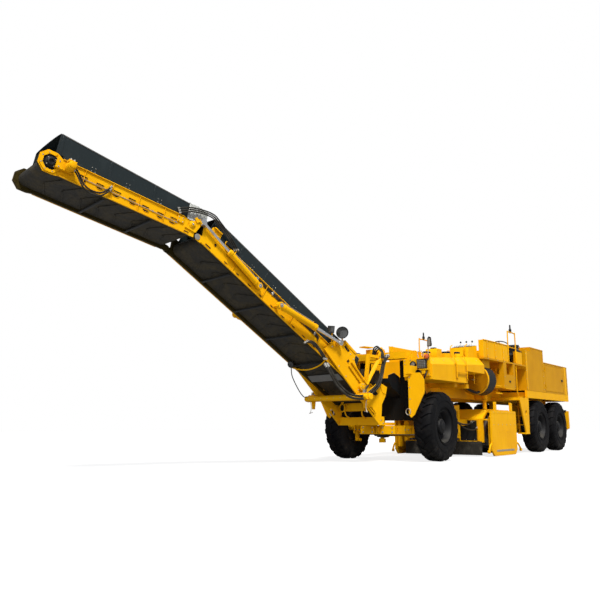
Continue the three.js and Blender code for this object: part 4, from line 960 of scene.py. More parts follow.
def add_boom_underside():
    """The guard bar, the scraper's plate and the return rollers under the lower section."""
    bar = Shape()
    bar.tube([(0.98, -0.508, 0.03), (0.94, -0.50, -0.10), (0.90, -0.3, -0.16), (0.88, 0.0, -0.18),
              (0.92, 0.3, -0.15),
              (0.98, 0.49, -0.085), (1.02, 0.508, 0.0)], 0.013, 10, 6)
    for side in (1, -1):
        bar.box(0.95, 1.03, side * 0.5, side * 0.516, -0.01, 0.04)
    bar.make("lower_guard_bar", "lower_boom", LOWER, YELLOW, bevel=0)
    plate = Shape()
    plate.side([(0.36, -0.085), (0.52, -0.055), (0.52, -0.048), (0.36, -0.078)], -0.43, 0.43)
    plate.make("lower_scraper_plate", "lower_boom", LOWER, GREY, bevel=0.001)
    for name, section, spots in (("lower", SECTIONS["lower"], (0.9, 1.75, 2.6, 3.45)),
                                 ("upper", SECTIONS["upper"], (0.8, 1.6))):
        under = section["belt"][2]
        rollers, brackets = Shape(), Shape()
        for u in spots:
            rollers.lathe((u, -0.41, under - 0.032), (0, 1, 0),
                          [(0, 0.012), (0.004, 0.018), (0.03, 0.02), (0.79, 0.02), (0.816, 0.018),
                           (0.82, 0.012)], 14)
            for side in (1, -1):
                brackets.box(u - 0.03, u + 0.03, side * 0.415, side * 0.452, under - 0.04, under - 0.024)
        rollers.make(f"{name}_return_rollers", section["body"], section["grid"], DARK, bevel=0)
        brackets.make(f"{name}_roller_brackets", section["body"], section["grid"], BOOM_YELLOW_SHADED_INSIDE, bevel=0.001)


for section_name, one_section in SECTIONS.items():
    add_frame_flanges(section_name, one_section)
    add_belt_cleats(section_name, one_section)
    add_cover_trim(section_name, one_section)
add_frame_openings()
add_head()
add_boom_pipes()
add_cylinder_trim()
add_fold_fittings()
add_boom_underside()

# ---------------------------------------------------------------- slewing yoke
def work_lamp(shape, glass_shape, place, axis, radius, square=False):
    """A lamp's bowl, rim and rear boss on one shape and its glass on another."""
    axis = Vector(axis).normalized()
    place = Vector(place)
    sides = 4 if square else 28
    depth = radius * 0.75
    shape.lathe(place - axis * depth, axis, [(0, radius * 0.35), (depth * 0.15, radius * 0.55),
                                             (depth * 0.6, radius * 0.9),
                                              (depth * 0.9, radius), (depth, radius),
                                              (depth + 0.008, radius * 1.04),
                                              (depth + 0.016, radius * 1.0), (depth + 0.016, radius * 0.9),
                                              (depth + 0.006, radius * 0.88)], sides)
    glass_shape.lathe(place + axis * 0.004, axis, [(0, radius * 0.88), (0.004, radius * 0.88),
                                                   (0.010, radius * 0.6), (0.012, radius * 0.2)], sides)


def add_yoke_details():
    lamps, lenses, stalks = Shape(), Shape(), Shape()
    for side in (1, -1):
        work_lamp(lamps, lenses, (1.735, side * 0.61, 2.40), (0.75, side * 0.55, 0.12), 0.113)
        work_lamp(lamps, lenses, (2.02, side * 0.605, 2.435), (0.85, side * 0.5, 0.05), 0.09, True)
        stalks.rod((1.67, side * 0.547, 2.22), (1.71, side * 0.575, 2.34), 0.014, 10)
        stalks.rod((1.95, side * 0.547, 2.19), (1.98, side * 0.585, 2.40), 0.012, 10)
        stalks.side([(1.60, 2.25), (1.99, 2.19), (1.99, 2.205), (1.60, 2.275)], side * 0.532, side * 0.558)
    lamps.make("work_lamp_bowls", "slew_yoke", SLEW, DARK, bevel=0)
    lenses.make("work_lamp_glasses", "slew_yoke", SLEW, DARK_LENS, bevel=0)
    stalks.make("work_lamp_stalks", "slew_yoke", SLEW, YELLOW, bevel=0.002)
    plates, bolts, pins = Shape(), Shape(), Shape()
    for side in (1, -1):
        face = side * 0.56
        out = side * 0.578
        plates.rod((1.463, side * 0.578, 1.873), (1.06, side * 0.578, 1.475), 0.020, 12)
        plates.rod((1.535, side * 0.578, 1.80), (1.13, side * 0.578, 1.405), 0.016, 12)
        plates.lathe((1.2, side * 0.600, 1.42), (0, side, 0),
                     [(0, 0.078), (0.012, 0.078), (0.016, 0.06), (0.016, 0.001)], 24)
        plates.side([(1.30, 2.045), (1.36, 2.035), (1.64, 2.235), (1.61, 2.268)], face, side * 0.574)
        plates.side([(0.50, 1.30), (0.60, 1.32), (0.69, 1.51), (0.52, 1.455)], face, side * 0.572)
        for s, z in ((1.40, 1.93), (1.47, 2.02), (1.55, 2.22), (1.66, 2.24), (1.95, 2.13), (1.78, 1.78),
                     (1.60, 1.60),
                     (1.27, 1.36), (1.22, 1.24), (1.02, 1.42), (1.05, 1.10), (0.70, 1.46), (0.66, 0.80),
                     (0.60, 0.74)):
            bolts.bolt((s, face, z), (0, side, 0), 0.013)
        for k in range(6):
            t = math.pi * k / 3
            bolts.bolt((1.2 + 0.055 * math.cos(t), side * 0.616, 1.42 + 0.055 * math.sin(t)), (0, side, 0),
                       0.009)
        pins.lathe((1.83, side * 0.674, 2.2), (0, side, 0),
                   [(0, 0.034), (0.01, 0.034), (0.014, 0.026), (0.014, 0.001)], 18)
        plates.rod((0.83, out, 0.90), (1.0, out, 1.045), 0.012, 8)
    plates.make("yoke_struts", "slew_yoke", SLEW, YELLOW, bevel=0.002)
    bolts.make("yoke_bolts", "slew_yoke", SLEW, ZINC, bevel=0)
    pins.make("luff_eye_pins", "luff_rods", SLEW, ZINC, bevel=0)
    slots = [[(1.47, 2.08), (1.53, 2.035), (1.645, 2.155), (1.59, 2.195)],
             [(1.50, 1.885), (1.545, 1.845), (1.585, 1.885), (1.54, 1.93)]]
    for side_outline in slots[1:]:
        add_openings("yoke_cheek", "slew_yoke", SLEW, [side_outline], 0.56)
    add_openings("yoke_foot", "slew_yoke", SLEW, [
        [(0.72, 1.30), (0.80, 1.26), (0.95, 1.30), (0.93, 1.36), (0.80, 1.37)]], 0.56)


def add_front_beam():
    """Bolts, end lamps, brackets and the hose ends on the yoke's front beam."""
    beam, dark, zinc = Shape(), Shape(), Shape()
    beam.rod((1.33, -0.848, 1.225), (1.33, 0.848, 1.225), 0.052, 20)
    for side in (1, -1):
        beam.lathe((1.26, side * 0.845, 1.225), (0, side, 0),
                   [(0, 0.062), (0.02, 0.062), (0.03, 0.05), (0.03, 0.001)], 20)
        beam.flat([(1.205, side * 0.62), (1.315, side * 0.62), (1.315, side * 0.80), (1.205, side * 0.80)],
                  1.279, 1.30)
        beam.side([(1.20, 1.175), (1.31, 1.175), (1.29, 1.02), (1.22, 1.02)], side * 0.70, side * 0.715)
        for y in (0.64, 0.78):
            for s in (1.225, 1.295):
                zinc.bolt((s, side * y, 1.30), (0, 0, 1), 0.012)
        for k in range(2):
            zinc.lathe((1.24 + 0.045 * k, side * 0.71, 1.30), (0, 0, 1),
                       [(0, 0.026), (0.02, 0.026), (0.02, 0.019), (0.055, 0.019), (0.055, 0.012),
                        (0.06, 0.001)], 8)
        dark.tube([(1.25, side * 0.72, 1.30), (1.22, side * 0.72, 1.40), (1.16, side * 0.70, 1.44),
                   (1.13, side * 0.64, 1.40),
                   (1.14, side * 0.60, 1.30)], 0.014, 8, 6)
    for k in range(9):
        zinc.bolt((1.379, -0.72 + 0.18 * k, 1.225), (1, 0, 0), 0.009)
    beam.make("front_beam_cap", "slew_yoke", SLEW, YELLOW, bevel=0.001)
    zinc.make("front_beam_fittings", "slew_yoke", SLEW, ZINC, bevel=0)
    dark.make("front_beam_pipes", "slew_yoke", SLEW, HOSE, bevel=0)
    # round end of the water pipe below the beam, and the lines that leave it
    tube, hollow = Shape(), Shape()
    for side in (1, -1):
        tube.lathe((0.71, side * 0.40, 1.05), (1, 0, 0),
                   [(0, 0.075), (0.03, 0.075), (0.035, 0.085), (0.05, 0.085), (0.05, 0.066), (0.02, 0.064),
                    (0.02, 0.001)], 24)
        tube.tube([(0.72, side * 0.28, 1.11), (0.80, side * 0.26, 1.12), (0.84, side * 0.24, 1.04),
                   (0.82, side * 0.22, 0.90), (0.71, side * 0.2, 0.84)], 0.013, 8, 6)
        # Painted shadow: black discs in the pipe mouths.
        hollow.lathe((0.731, side * 0.40, 1.05), (1, 0, 0), [(0, 0.063), (0.003, 0.063)], 20)
    tube.side([(0.70, 0.98), (0.715, 0.98), (0.715, 1.14), (0.70, 1.14)], -0.53, 0.53)
    tube.make("yoke_water_ends", "slew_yoke", SLEW, YELLOW, bevel=0.001)
    hollow.make("yoke_water_mouths", "slew_yoke", SLEW, SHADOW_BLACK, bevel=0)
    for side, sign in SIDES:
        ring = Shape()
        loop = [(1.28, sign * (0.80 + 0.05 * math.cos(a)), 1.06 + 0.12 * math.sin(a)) for a in
                [math.pi * (0.5 + k / 5) for k in range(6)]]
        ring.tube([(1.28, sign * 0.79, 1.175)] + loop + [(1.28, sign * 0.71, 0.96)], 0.006, 6, 4)
        ring.make(f"{side}_beam_wire", "slew_yoke", SLEW, ZINC, bevel=0)


def add_mast():
    """Cap, bolts, hose guides and pads on the slewing column's top."""
    mast, bolts, pipes = Shape(), Shape(), Shape()
    for side in (1, -1):
        mast.rod((1.05, side * 0.575, 1.455), (0.64, side * 0.575, 2.0), 0.018, 10)
        mast.lathe((0.64, side * 0.545, 2.055), (0, side, 0),
                   [(0, 0.05), (0.02, 0.055), (0.035, 0.05), (0.035, 0.001)], 18)
        mast.side([(0.56, 1.96), (0.70, 1.96), (0.72, 2.06), (0.64, 2.13), (0.55, 2.08)], side * 0.561,
                  side * 0.572)
        for s, z in ((0.60, 2.0), (0.67, 2.0), (0.63, 2.08)):
            bolts.bolt((s, side * 0.572, z), (0, side, 0), 0.012)
        for k in range(3):
            pipes.tube([(0.50 + 0.04 * k, side * 0.30, 2.07), (0.50 + 0.04 * k, side * 0.34, 2.17 + 0.02 * k),
                        (0.52 + 0.04 * k, side * 0.46, 2.20 + 0.02 * k),
                        (0.56 + 0.03 * k, side * 0.56, 2.12), (0.58 + 0.03 * k, side * 0.60, 2.0)], 0.015, 8,
                        6)
    mast.box(0.30, 0.56, -0.075, 0.075, 2.262, 2.285)
    mast.lathe((0.0, 0, 2.236), (0, 0, 1), [(0, 0.085), (0.02, 0.085), (0.03, 0.07), (0.03, 0.05),
                                            (0.06, 0.045), (0.07, 0.03), (0.07, 0.001)], 24)
    for k in range(8):
        t = math.pi * k / 4
        bolts.bolt((0.075 * math.cos(t), 0.075 * math.sin(t), 2.256), (0, 0, 1), 0.01)
    mast.make("mast_cap", "slew_yoke", SLEW, YELLOW, bevel=0.002)
    bolts.make("mast_bolts", "slew_yoke", SLEW, ZINC, bevel=0)
    pipes.make("mast_hose_bends", "slew_yoke", SLEW, HOSE, bevel=0)
    collar = Shape()
    collar.lathe((0.35, 0, 0.494), (0, 0, 1), [(-0.028, 0.10), (-0.024, 0.11), (0.0, 0.11), (0.0, 0.16),
                                               (0.030, 0.175), (0.034, 0.16)], 28)
    for k in range(8):
        t = math.pi * (k + 0.5) / 4
        collar.bolt((0.35 + 0.14 * math.cos(t), 0.14 * math.sin(t), 0.494), (0, 0, -1), 0.013)
    collar.make("nose_bearing_collar", "chassis", MACHINE, DARK, bevel=0)


# ---------------------------------------------------------------- front of the chassis
def add_front_end():
    apron = Shape()
    apron.front([(-0.62, 0.80), (0.62, 0.80), (0.62, 2.03), (0.345, 2.03), (0.345, 1.26), (-0.345, 1.26),
                 (-0.345, 2.03),
                 (-0.62, 2.03)], 0.163, 0.169)
    for y in (-0.5, -0.2, 0.1, 0.4):
        apron.box(0.169, 0.175, y, y + 0.03, 0.82, 1.24)
    # The apron is drawn in the painted-shadow black.
    apron.make("front_splash_apron", "chassis", MACHINE, SHADOW_BLACK, bevel=0.001)
    lamps, lenses, amber, zinc, blocks, dark = (Shape() for _ in range(6))
    for _, sign in SIDES:
        y = sign * 1.07
        frame = [(y + a, 1.885 + b) for a, b in ((-0.105, -0.095), (0.105, -0.095), (0.105, 0.095),
                                                 (-0.105, 0.095))]
        inner = [(y + a, 1.885 + b) for a, b in ((-0.085, -0.072), (0.085, -0.072), (0.085, 0.072),
                                                 (-0.085, 0.072))]
        lamps.front(frame, 0.595, 0.625)
        lenses.front(inner, 0.625, 0.632)
        for k in range(4):
            z = 1.835 + 0.033 * k
            lamps.box(0.632, 0.637, y - 0.085, y + 0.085, z, z + 0.007)
        for k in range(3):
            lamps.box(0.632, 0.636, y - 0.05 + 0.045 * k, y - 0.043 + 0.045 * k, 1.815, 1.957)
        lamps.lathe((0.561, sign * 0.875, 1.89), (1, 0, 0),
                    [(0, 0.05), (0.04, 0.055), (0.05, 0.062), (0.062, 0.062), (0.062, 0.048), (0.05, 0.046)],
                    24)
        lenses.lathe((0.600, sign * 0.875, 1.89), (1, 0, 0), [(0, 0.046), (0.012, 0.044), (0.018, 0.02)], 20)
        amber.lathe((0.561, sign * 1.16, 2.03), (1, 0, 0),
                    [(0, 0.05), (0.03, 0.05), (0.045, 0.04), (0.052, 0.02)], 20)
        dark.lathe((0.556, sign * 1.16, 2.03), (1, 0, 0), [(0, 0.058), (0.012, 0.058)], 20)
        lamps.lathe((0.62, sign * 1.05, 1.725), (1, -0.1 * sign, -0.1),
                    [(0, 0.03), (0.05, 0.036), (0.08, 0.055), (0.10, 0.06), (0.10, 0.05), (0.06, 0.03)], 20)
        dark.tube([(0.60, sign * 1.16, 1.74), (0.66, sign * 1.18, 1.70), (0.68, sign * 1.16, 1.63),
                   (0.62, sign * 1.12, 1.60)], 0.016, 8, 5)
        dark.tube([(0.58, sign * 0.98, 1.80), (0.62, sign * 0.96, 1.76), (0.62, sign * 0.94, 1.70)], 0.010, 8,
                  5)
        blocks.front([(sign * 0.80, 1.66), (sign * 0.93, 1.66), (sign * 0.93, 1.80), (sign * 0.92, 1.815),
                      (sign * 0.81, 1.815), (sign * 0.80, 1.80)], 0.56, 0.70)
        blocks.box(0.56, 0.66, sign * 0.98, sign * 1.2, 1.765, 1.785)
        for dy, dz in ((0.82, 1.68), (0.91, 1.68), (0.82, 1.79), (0.91, 1.79)):
            zinc.bolt((0.70, sign * dy, dz), (1, 0, 0), 0.01)
        for dy, dz in ((0.67, 1.97), (0.80, 1.98), (0.95, 1.985), (1.19, 1.97), (1.19, 1.68), (0.67, 1.90)):
            zinc.bolt((0.5605, sign * dy, dz), (1, 0, 0), 0.011)
        for z in (1.62, 1.42, 1.20, 1.0):
            zinc.bolt((0.87, sign * 0.925, z), (1, 0, 0), 0.012)
        blocks.side([(0.62, 1.70), (0.85, 1.70), (0.85, 1.50)], sign * 0.90, sign * 0.915)
        zinc.tube([(0.875, sign * (0.885 + 0.05 * math.cos(a)), 0.96 + 0.06 * math.sin(a)) for a in
                   [2 * math.pi * k / 12 for k in range(13)]], 0.008, 8, 3)
        zinc.tube([(0.50, sign * 0.95, 2.01), (0.50, sign * 0.93, 2.12), (0.50, sign * 0.99, 2.155),
                   (0.50, sign * 1.05, 2.12),
                   (0.50, sign * 1.04, 2.01)], 0.007, 8, 5)
        zinc.tube([(0.42, sign * 1.12, 1.99), (0.42, sign * 1.125, 2.20), (0.44, sign * 1.15, 2.26)], 0.009,
                  8, 4)
        dark.front([(sign * 1.12, 2.24), (sign * 1.20, 2.24), (sign * 1.215, 2.27), (sign * 1.20, 2.42),
                    (sign * 1.16, 2.44), (sign * 1.125, 2.40)], 0.43, 0.455)
        zinc.front([(sign * 1.13, 2.255), (sign * 1.195, 2.255), (sign * 1.195, 2.40), (sign * 1.135, 2.40)],
                   0.455, 0.459)
    lamps.make("headlamp_bodies", "chassis", MACHINE, DARK, bevel=0.002)
    lenses.make("headlamp_lenses", "chassis", MACHINE, CLEAR_LENS, bevel=0)
    amber.make("turn_lamp_lenses", "chassis", MACHINE, AMBER_LENS, bevel=0)
    zinc.make("front_bolts_and_mirrors", "chassis", MACHINE, ZINC, bevel=0)
    blocks.make("headlamp_boxes", "chassis", MACHINE, YELLOW, bevel=0.004)
    dark.make("front_cables_and_mirror_backs", "chassis", MACHINE, DARK, bevel=0.001)
    nose = Shape()
    for y in (-0.34, -0.12, 0.12, 0.34):
        for z in (0.57, 0.66):
            nose.bolt((0.54, y, z), (1, 0, 0), 0.016)
    for _, sign in SIDES:
        nose.bolt((0.44, sign * 0.575, 0.615), (0, sign, 0), 0.016)
        nose.bolt((0.30, sign * 0.575, 0.615), (0, sign, 0), 0.016)
    nose.make("nose_bolts", "chassis", MACHINE, ZINC, bevel=0)
    jaw = Shape()
    jaw.side([(0.54, 0.55), (0.61, 0.57), (0.61, 0.66), (0.54, 0.68)], -0.06, -0.035)
    jaw.side([(0.54, 0.55), (0.61, 0.57), (0.61, 0.66), (0.54, 0.68)], 0.035, 0.06)
    jaw.rod((0.58, 0, 0.53), (0.58, 0, 0.6912), 0.016, 12)
    jaw.make("towing_jaw", "chassis", MACHINE, YELLOW, bevel=0.002)


def tank_top(x):
    return 2.02 + (2.23 - 2.02) * (0.52 - x) / 2.67


def tank_edge(x):
    return 1.88 + (2.05 - 1.88) * (0.52 - x) / 2.67


def add_tanks():
    caps, bolts, seams, dark, hoops = (Shape() for _ in range(5))
    for _, sign in SIDES:
        for x, radius in ((0.15, 0.09), (-0.75, 0.11), (-1.35, 0.07)):
            z = tank_top(x)
            caps.lathe((x, sign * 0.95, z - 0.01), (0, 0, 1),
                       [(0, radius), (0.09, radius), (0.10, radius * 0.9), (0.10, 0.001)], 24)
            dark.lathe((x, sign * 0.95, z + 0.088), (0, 0, 1),
                       [(0, radius * 0.96), (0.03, radius * 0.96), (0.04, radius * 0.8), (0.04, 0.001)], 24)
            for k in range(8):
                t = math.pi * k / 4
                bolts.bolt((x + (radius + 0.025) * math.cos(t), sign * 0.95 + (radius + 0.025) * math.sin(t),
                            tank_top(x + (radius + 0.025) * math.cos(t)) - 0.002), (0, 0, 1), 0.009)
            caps.lathe((x, sign * 0.95, z - 0.012), (0, 0, 1),
                       [(0, radius + 0.045), (0.018, radius + 0.045), (0.02, radius)], 24)
        caps.side([(-0.34, tank_top(-0.34) - 0.004), (-0.10, tank_top(-0.10) - 0.004), (-0.10, 2.20),
                   (-0.14, 2.26), (-0.34, 2.26)], sign * 0.80, sign * 1.06)
        dark.box(-0.28, -0.18, sign * 0.88, sign * 0.98, 2.26, 2.29)
        for x in (-0.45, -1.55):
            seams.box(x, x + 0.012, sign * 1.244, sign * 1.2475, 1.60, tank_edge(x) - 0.06)
        for x in (0.46, 0.30, -0.2, -0.9, -1.3, -1.9):
            bolts.bolt((x, sign * 1.16, (tank_edge(x) + tank_top(x)) / 2 + 0.01), (0, sign * 0.5, 0.5), 0.011)
        for x in (0.5, -0.1):
            zf = tank_top(x)
            hoops.tube([(x, sign * 0.80, zf - 0.01), (x, sign * 0.80, zf + 0.11),
                        (x, sign * 0.86, zf + 0.145), (x, sign * 0.92, zf + 0.11),
                        (x, sign * 0.92, zf - 0.01)], 0.009, 8, 5)
        for x in (-0.58, -1.10):
            for z in (1.67, 1.96):
                hoops.lathe((x if z > 1.9 else x - 0.06, sign * 1.2455, z), (0, sign, 0),
                            [(0, 0.032), (0.006, 0.032), (0.008, 0.02)], 16)
        hoops.tube([(-1.10, sign * 1.272, 1.955), (-1.13, sign * 1.262, 2.02), (-1.16, sign * 1.19, 2.16),
                    (-1.18, sign * 1.12, 2.165)], 0.011, 8, 5)
        hoops.tube([(-0.58, sign * 1.272, 1.955), (-0.60, sign * 1.262, 2.0), (-0.62, sign * 1.19, 2.11),
                    (-0.64, sign * 1.12, 2.12)], 0.011, 8, 5)
    caps.make("tank_filler_necks", "chassis", MACHINE, YELLOW, bevel=0.002)
    dark.make("tank_caps", "chassis", MACHINE, DARK, bevel=0.002)
    bolts.make("tank_bolts", "chassis", MACHINE, ZINC, bevel=0)
    seams.make("tank_seams", "chassis", MACHINE, YELLOW, bevel=0.001)
    hoops.make("tank_hoops", "chassis", MACHINE, YELLOW, bevel=0)


def add_air_cleaner():
    y, z, r = 0.895, 1.745, 0.345
    band, face, knob = Shape(), Shape(), Shape()
    band.lathe((-2.85, y, z), (1, 0, 0), [(0, r - 0.001), (0.003, r + 0.004), (0.41, r + 0.004),
                                          (0.413, r - 0.001)], 48)
    for k in range(4):
        band.lathe((-2.615 + 0.045 * k, y, z), (1, 0, 0),
                   [(0, r + 0.002), (0.004, r + 0.0045), (0.018, r + 0.0045), (0.022, r + 0.002)], 48)
    band.make("air_cleaner_band", "chassis", MACHINE, DARK, bevel=0)
    face.lathe((-2.361, y, z), (1, 0, 0), [(0, r - 0.004), (0.008, r - 0.006), (0.012, r - 0.02),
                                           (0.006, r - 0.05), (0.006, 0.11),
                                           (0.016, 0.09), (0.018, 0.05), (0.018, 0.001)], 48)
    for k in range(3):
        t = math.pi / 2 + 2 * math.pi * k / 3
        face.box(-2.36, -2.345, y + (r - 0.01) * math.cos(t) - 0.02, y + (r - 0.01) * math.cos(t) + 0.02,
                 z + (r - 0.03) * math.sin(t) - 0.02, z + (r - 0.03) * math.sin(t) + 0.02)
    # The lid is in the darker painted-shade yellow.
    face.make("air_cleaner_lid", "chassis", MACHINE, SHADED_YELLOW, bevel=0.001)
    knob.bolt((-2.343, y, z), (1, 0, 0), 0.028)
    knob.box(-2.343, -2.318, y - 0.05, y + 0.05, z - 0.007, z + 0.007)
    knob.make("air_cleaner_wing_nut", "chassis", MACHINE, ZINC, bevel=0.002)
    pipe = Shape()
    pipe.tube([(-1.55, 0.80, 1.66), (-1.75, 0.86, 1.62), (-2.0, 0.92, 1.50), (-2.2, 1.0, 1.44),
               (-2.32, 1.02, 1.46)], 0.03, 12, 6)
    pipe.tube([(-1.30, 0.79, 1.70), (-1.5, 0.83, 1.74), (-1.9, 0.80, 1.76), (-2.14, 0.80, 1.80)], 0.018, 10,
              6)
    pipe.make("air_cleaner_pipes", "chassis", MACHINE, HOSE, bevel=0)


add_yoke_details()
add_front_beam()
add_mast()
add_front_end()
add_tanks()
add_air_cleaner()

# ---------------------------------------------------------------- operator's place
DECK = 2.24


def add_deck():
    plate, bolts, rails, dark = Shape(), Shape(), Shape(), Shape()
    for i in range(46):
        for j in range(34):
            x, y = -2.26 - 0.06 * i, -1.12 + 0.068 * j
            lean = 1 if (i + j) % 2 else -1
            plate.flat([(x - 0.018, y - 0.006 * lean), (x - 0.012, y - 0.010 * lean),
                        (x + 0.018, y + 0.006 * lean), (x + 0.012, y + 0.010 * lean)][::lean], DECK,
                        DECK + 0.003)
    plate.make("deck_tread", "chassis", MACHINE, STEEL, bevel=0)
    for _, sign in SIDES:
        edge = sign * 1.225
        rails.tube([(-2.20, edge, 2.64), (-2.6, edge, 2.645), (-3.74, edge, 2.645)], 0.014, 8, 2)
        for x in (-2.45, -2.95, -3.45):
            rails.box(x, x + 0.05, sign * 1.2255, sign * 1.236, 2.26, 2.63)
            for z in (2.30, 2.45, 2.60):
                bolts.bolt((x + 0.025, sign * 1.236, z), (0, sign, 0), 0.009)
        for x in (-2.4, -3.0, -3.42, -4.09, -4.6):
            bolts.bolt((x, sign * 1.245, 2.22), (0, sign, 0), 0.012)
        rails.tube([(-3.84, edge * 0.99, 2.24), (-3.84, edge * 0.99, 2.95), (-3.90, edge * 0.99, 3.0),
                    (-4.30, edge * 0.99, 3.0), (-4.36, edge * 0.99, 2.95),
                    (-4.36, edge * 0.99, 2.24)], 0.016, 8, 5)
        rails.tube([(-3.84, edge * 0.99, 2.62), (-4.36, edge * 0.99, 2.62)], 0.013, 8, 1)
        dark.tube([(-4.07, sign * 1.20, 2.99), (-4.08, sign * 1.20, 3.04)], 0.02, 8, 1)
        dark.lathe((-4.08, sign * 1.20, 3.02), (0, 0, 1),
                   [(0, 0.03), (0.02, 0.035), (0.06, 0.035), (0.08, 0.02), (0.17, 0.018), (0.18, 0.01)], 14)
        # the tool box and steps' plates under the deck's edge
        rails.side([(-4.10, 1.60), (-3.42, 1.60), (-3.46, 1.57), (-4.06, 1.57)], sign * 1.18, sign * 1.244)
        for x in (-4.10, -3.42):
            for z in (1.65, 1.86):
                bolts.bolt((x, sign * 1.2475, z), (0, sign, 0), 0.01)
        dark.box(-3.80, -3.70, sign * 1.2475, sign * 1.258, 1.74, 1.78)
        for z in (1.45, 1.62):
            rails.rod((-3.30, sign * 1.20, z), (-2.95, sign * 1.20, z), 0.014, 8)
    for y in (-0.9, -0.3, 0.3, 0.9):
        bolts.bolt((-2.19, y, 2.30), (1, 0, 0), 0.012)
        bolts.bolt((-2.1505, y, 2.22), (1, 0, 0), 0.012)
    rails.make("deck_rails", "chassis", MACHINE, YELLOW, bevel=0.001)
    bolts.make("deck_bolts", "chassis", MACHINE, ZINC, bevel=0)
    dark.make("deck_latches_and_beacons", "chassis", MACHINE, DARK, bevel=0.001)


CONSOLE_FRONT, CONSOLE_DEPTH = -1.68, 0.46
CONSOLE_LOW, CONSOLE_HIGH = 2.43, 2.50


def add_console():
    """Two sloping consoles with levers, dials and blank screens, and the steering wheel's column."""
    panel, dark, zinc, yellow = (Shape() for _ in range(4))

    def on_slope(x):
        return CONSOLE_LOW + (CONSOLE_HIGH - CONSOLE_LOW) * (CONSOLE_FRONT - x) / CONSOLE_DEPTH

    panel.side([(-1.70, on_slope(-1.70)), (-2.12, on_slope(-2.12)), (-2.12, on_slope(-2.12) + 0.008),
                (-1.70, on_slope(-1.70) + 0.008)], 0.67, 1.07)
    for i in range(4):
        for j in range(3):
            x, y = -1.76 - 0.09 * i, 0.73 + 0.12 * j
            zinc.lathe((x, y, on_slope(x) + 0.006), (0.15, 0, 1),
                       [(0, 0.02), (0.006, 0.02), (0.008, 0.012), (0.03, 0.009), (0.034, 0.001)], 12)
    for j in range(3):
        x, y = -2.05, 0.73 + 0.14 * j
        zinc.rod((x, y, on_slope(x)), (x - 0.03, y, on_slope(x) + 0.10), 0.006, 8)
        dark.lathe((x - 0.03, y, on_slope(x) + 0.09), (-0.3, 0, 1),
                   [(0, 0.012), (0.01, 0.02), (0.03, 0.02), (0.04, 0.01)], 14)
    for y in (0.68, 1.03):
        yellow.tube([(-1.64, y, tank_top(-1.64)), (-1.60, y, 2.30), (-1.62, y, 2.44), (-1.72, y, 2.50)],
                    0.012, 8, 5)
    # steering column and second pod, beside the seat
    y = 0.88
    dark.rod((-4.12, y, DECK), (-4.22, y, 2.72), 0.032, 12)
    ring = [(-4.235 + 0.17 * math.cos(a) * 0.93, y + 0.18 * math.sin(a),
             2.745 + 0.17 * math.cos(a) * 0.36) for a in
            [2 * math.pi * k / 20 for k in range(21)]]
    dark.tube(ring, 0.013, 8, 2)
    for k in range(3):
        a = 2 * math.pi * k / 3
        dark.rod((-4.235, y, 2.745), (-4.235 + 0.16 * math.cos(a) * 0.93, y + 0.17 * math.sin(a),
                                      2.745 + 0.16 * math.cos(a) * 0.36), 0.009, 8)
    dark.lathe((-4.228, y, 2.72), (-0.36, 0, 0.93), [(0, 0.035), (0.03, 0.04), (0.045, 0.03), (0.045, 0.001)],
               18)
    for y in (0.58, 1.17):
        yellow.box(-4.80, -4.42, y - 0.045, y + 0.045, DECK, 2.56)
        panel.box(-4.80, -4.42, y - 0.05, y + 0.05, 2.56, 2.585)
        for k in range(3):
            x = -4.48 - 0.1 * k
            zinc.rod((x, y, 2.58), (x + 0.02, y, 2.67), 0.006, 8)
            dark.lathe((x + 0.02, y, 2.66), (0.2, 0, 1),
                       [(0, 0.012), (0.008, 0.018), (0.026, 0.018), (0.034, 0.008)], 12)
    panel.make("console_panels", "chassis", MACHINE, DARK, bevel=0.002)
    dark.make("console_knobs_and_wheel", "chassis", MACHINE, DARK, bevel=0)
    zinc.make("console_switches", "chassis", MACHINE, ZINC, bevel=0)
    yellow.make("console_pods", "chassis", MACHINE, YELLOW, bevel=0.006)


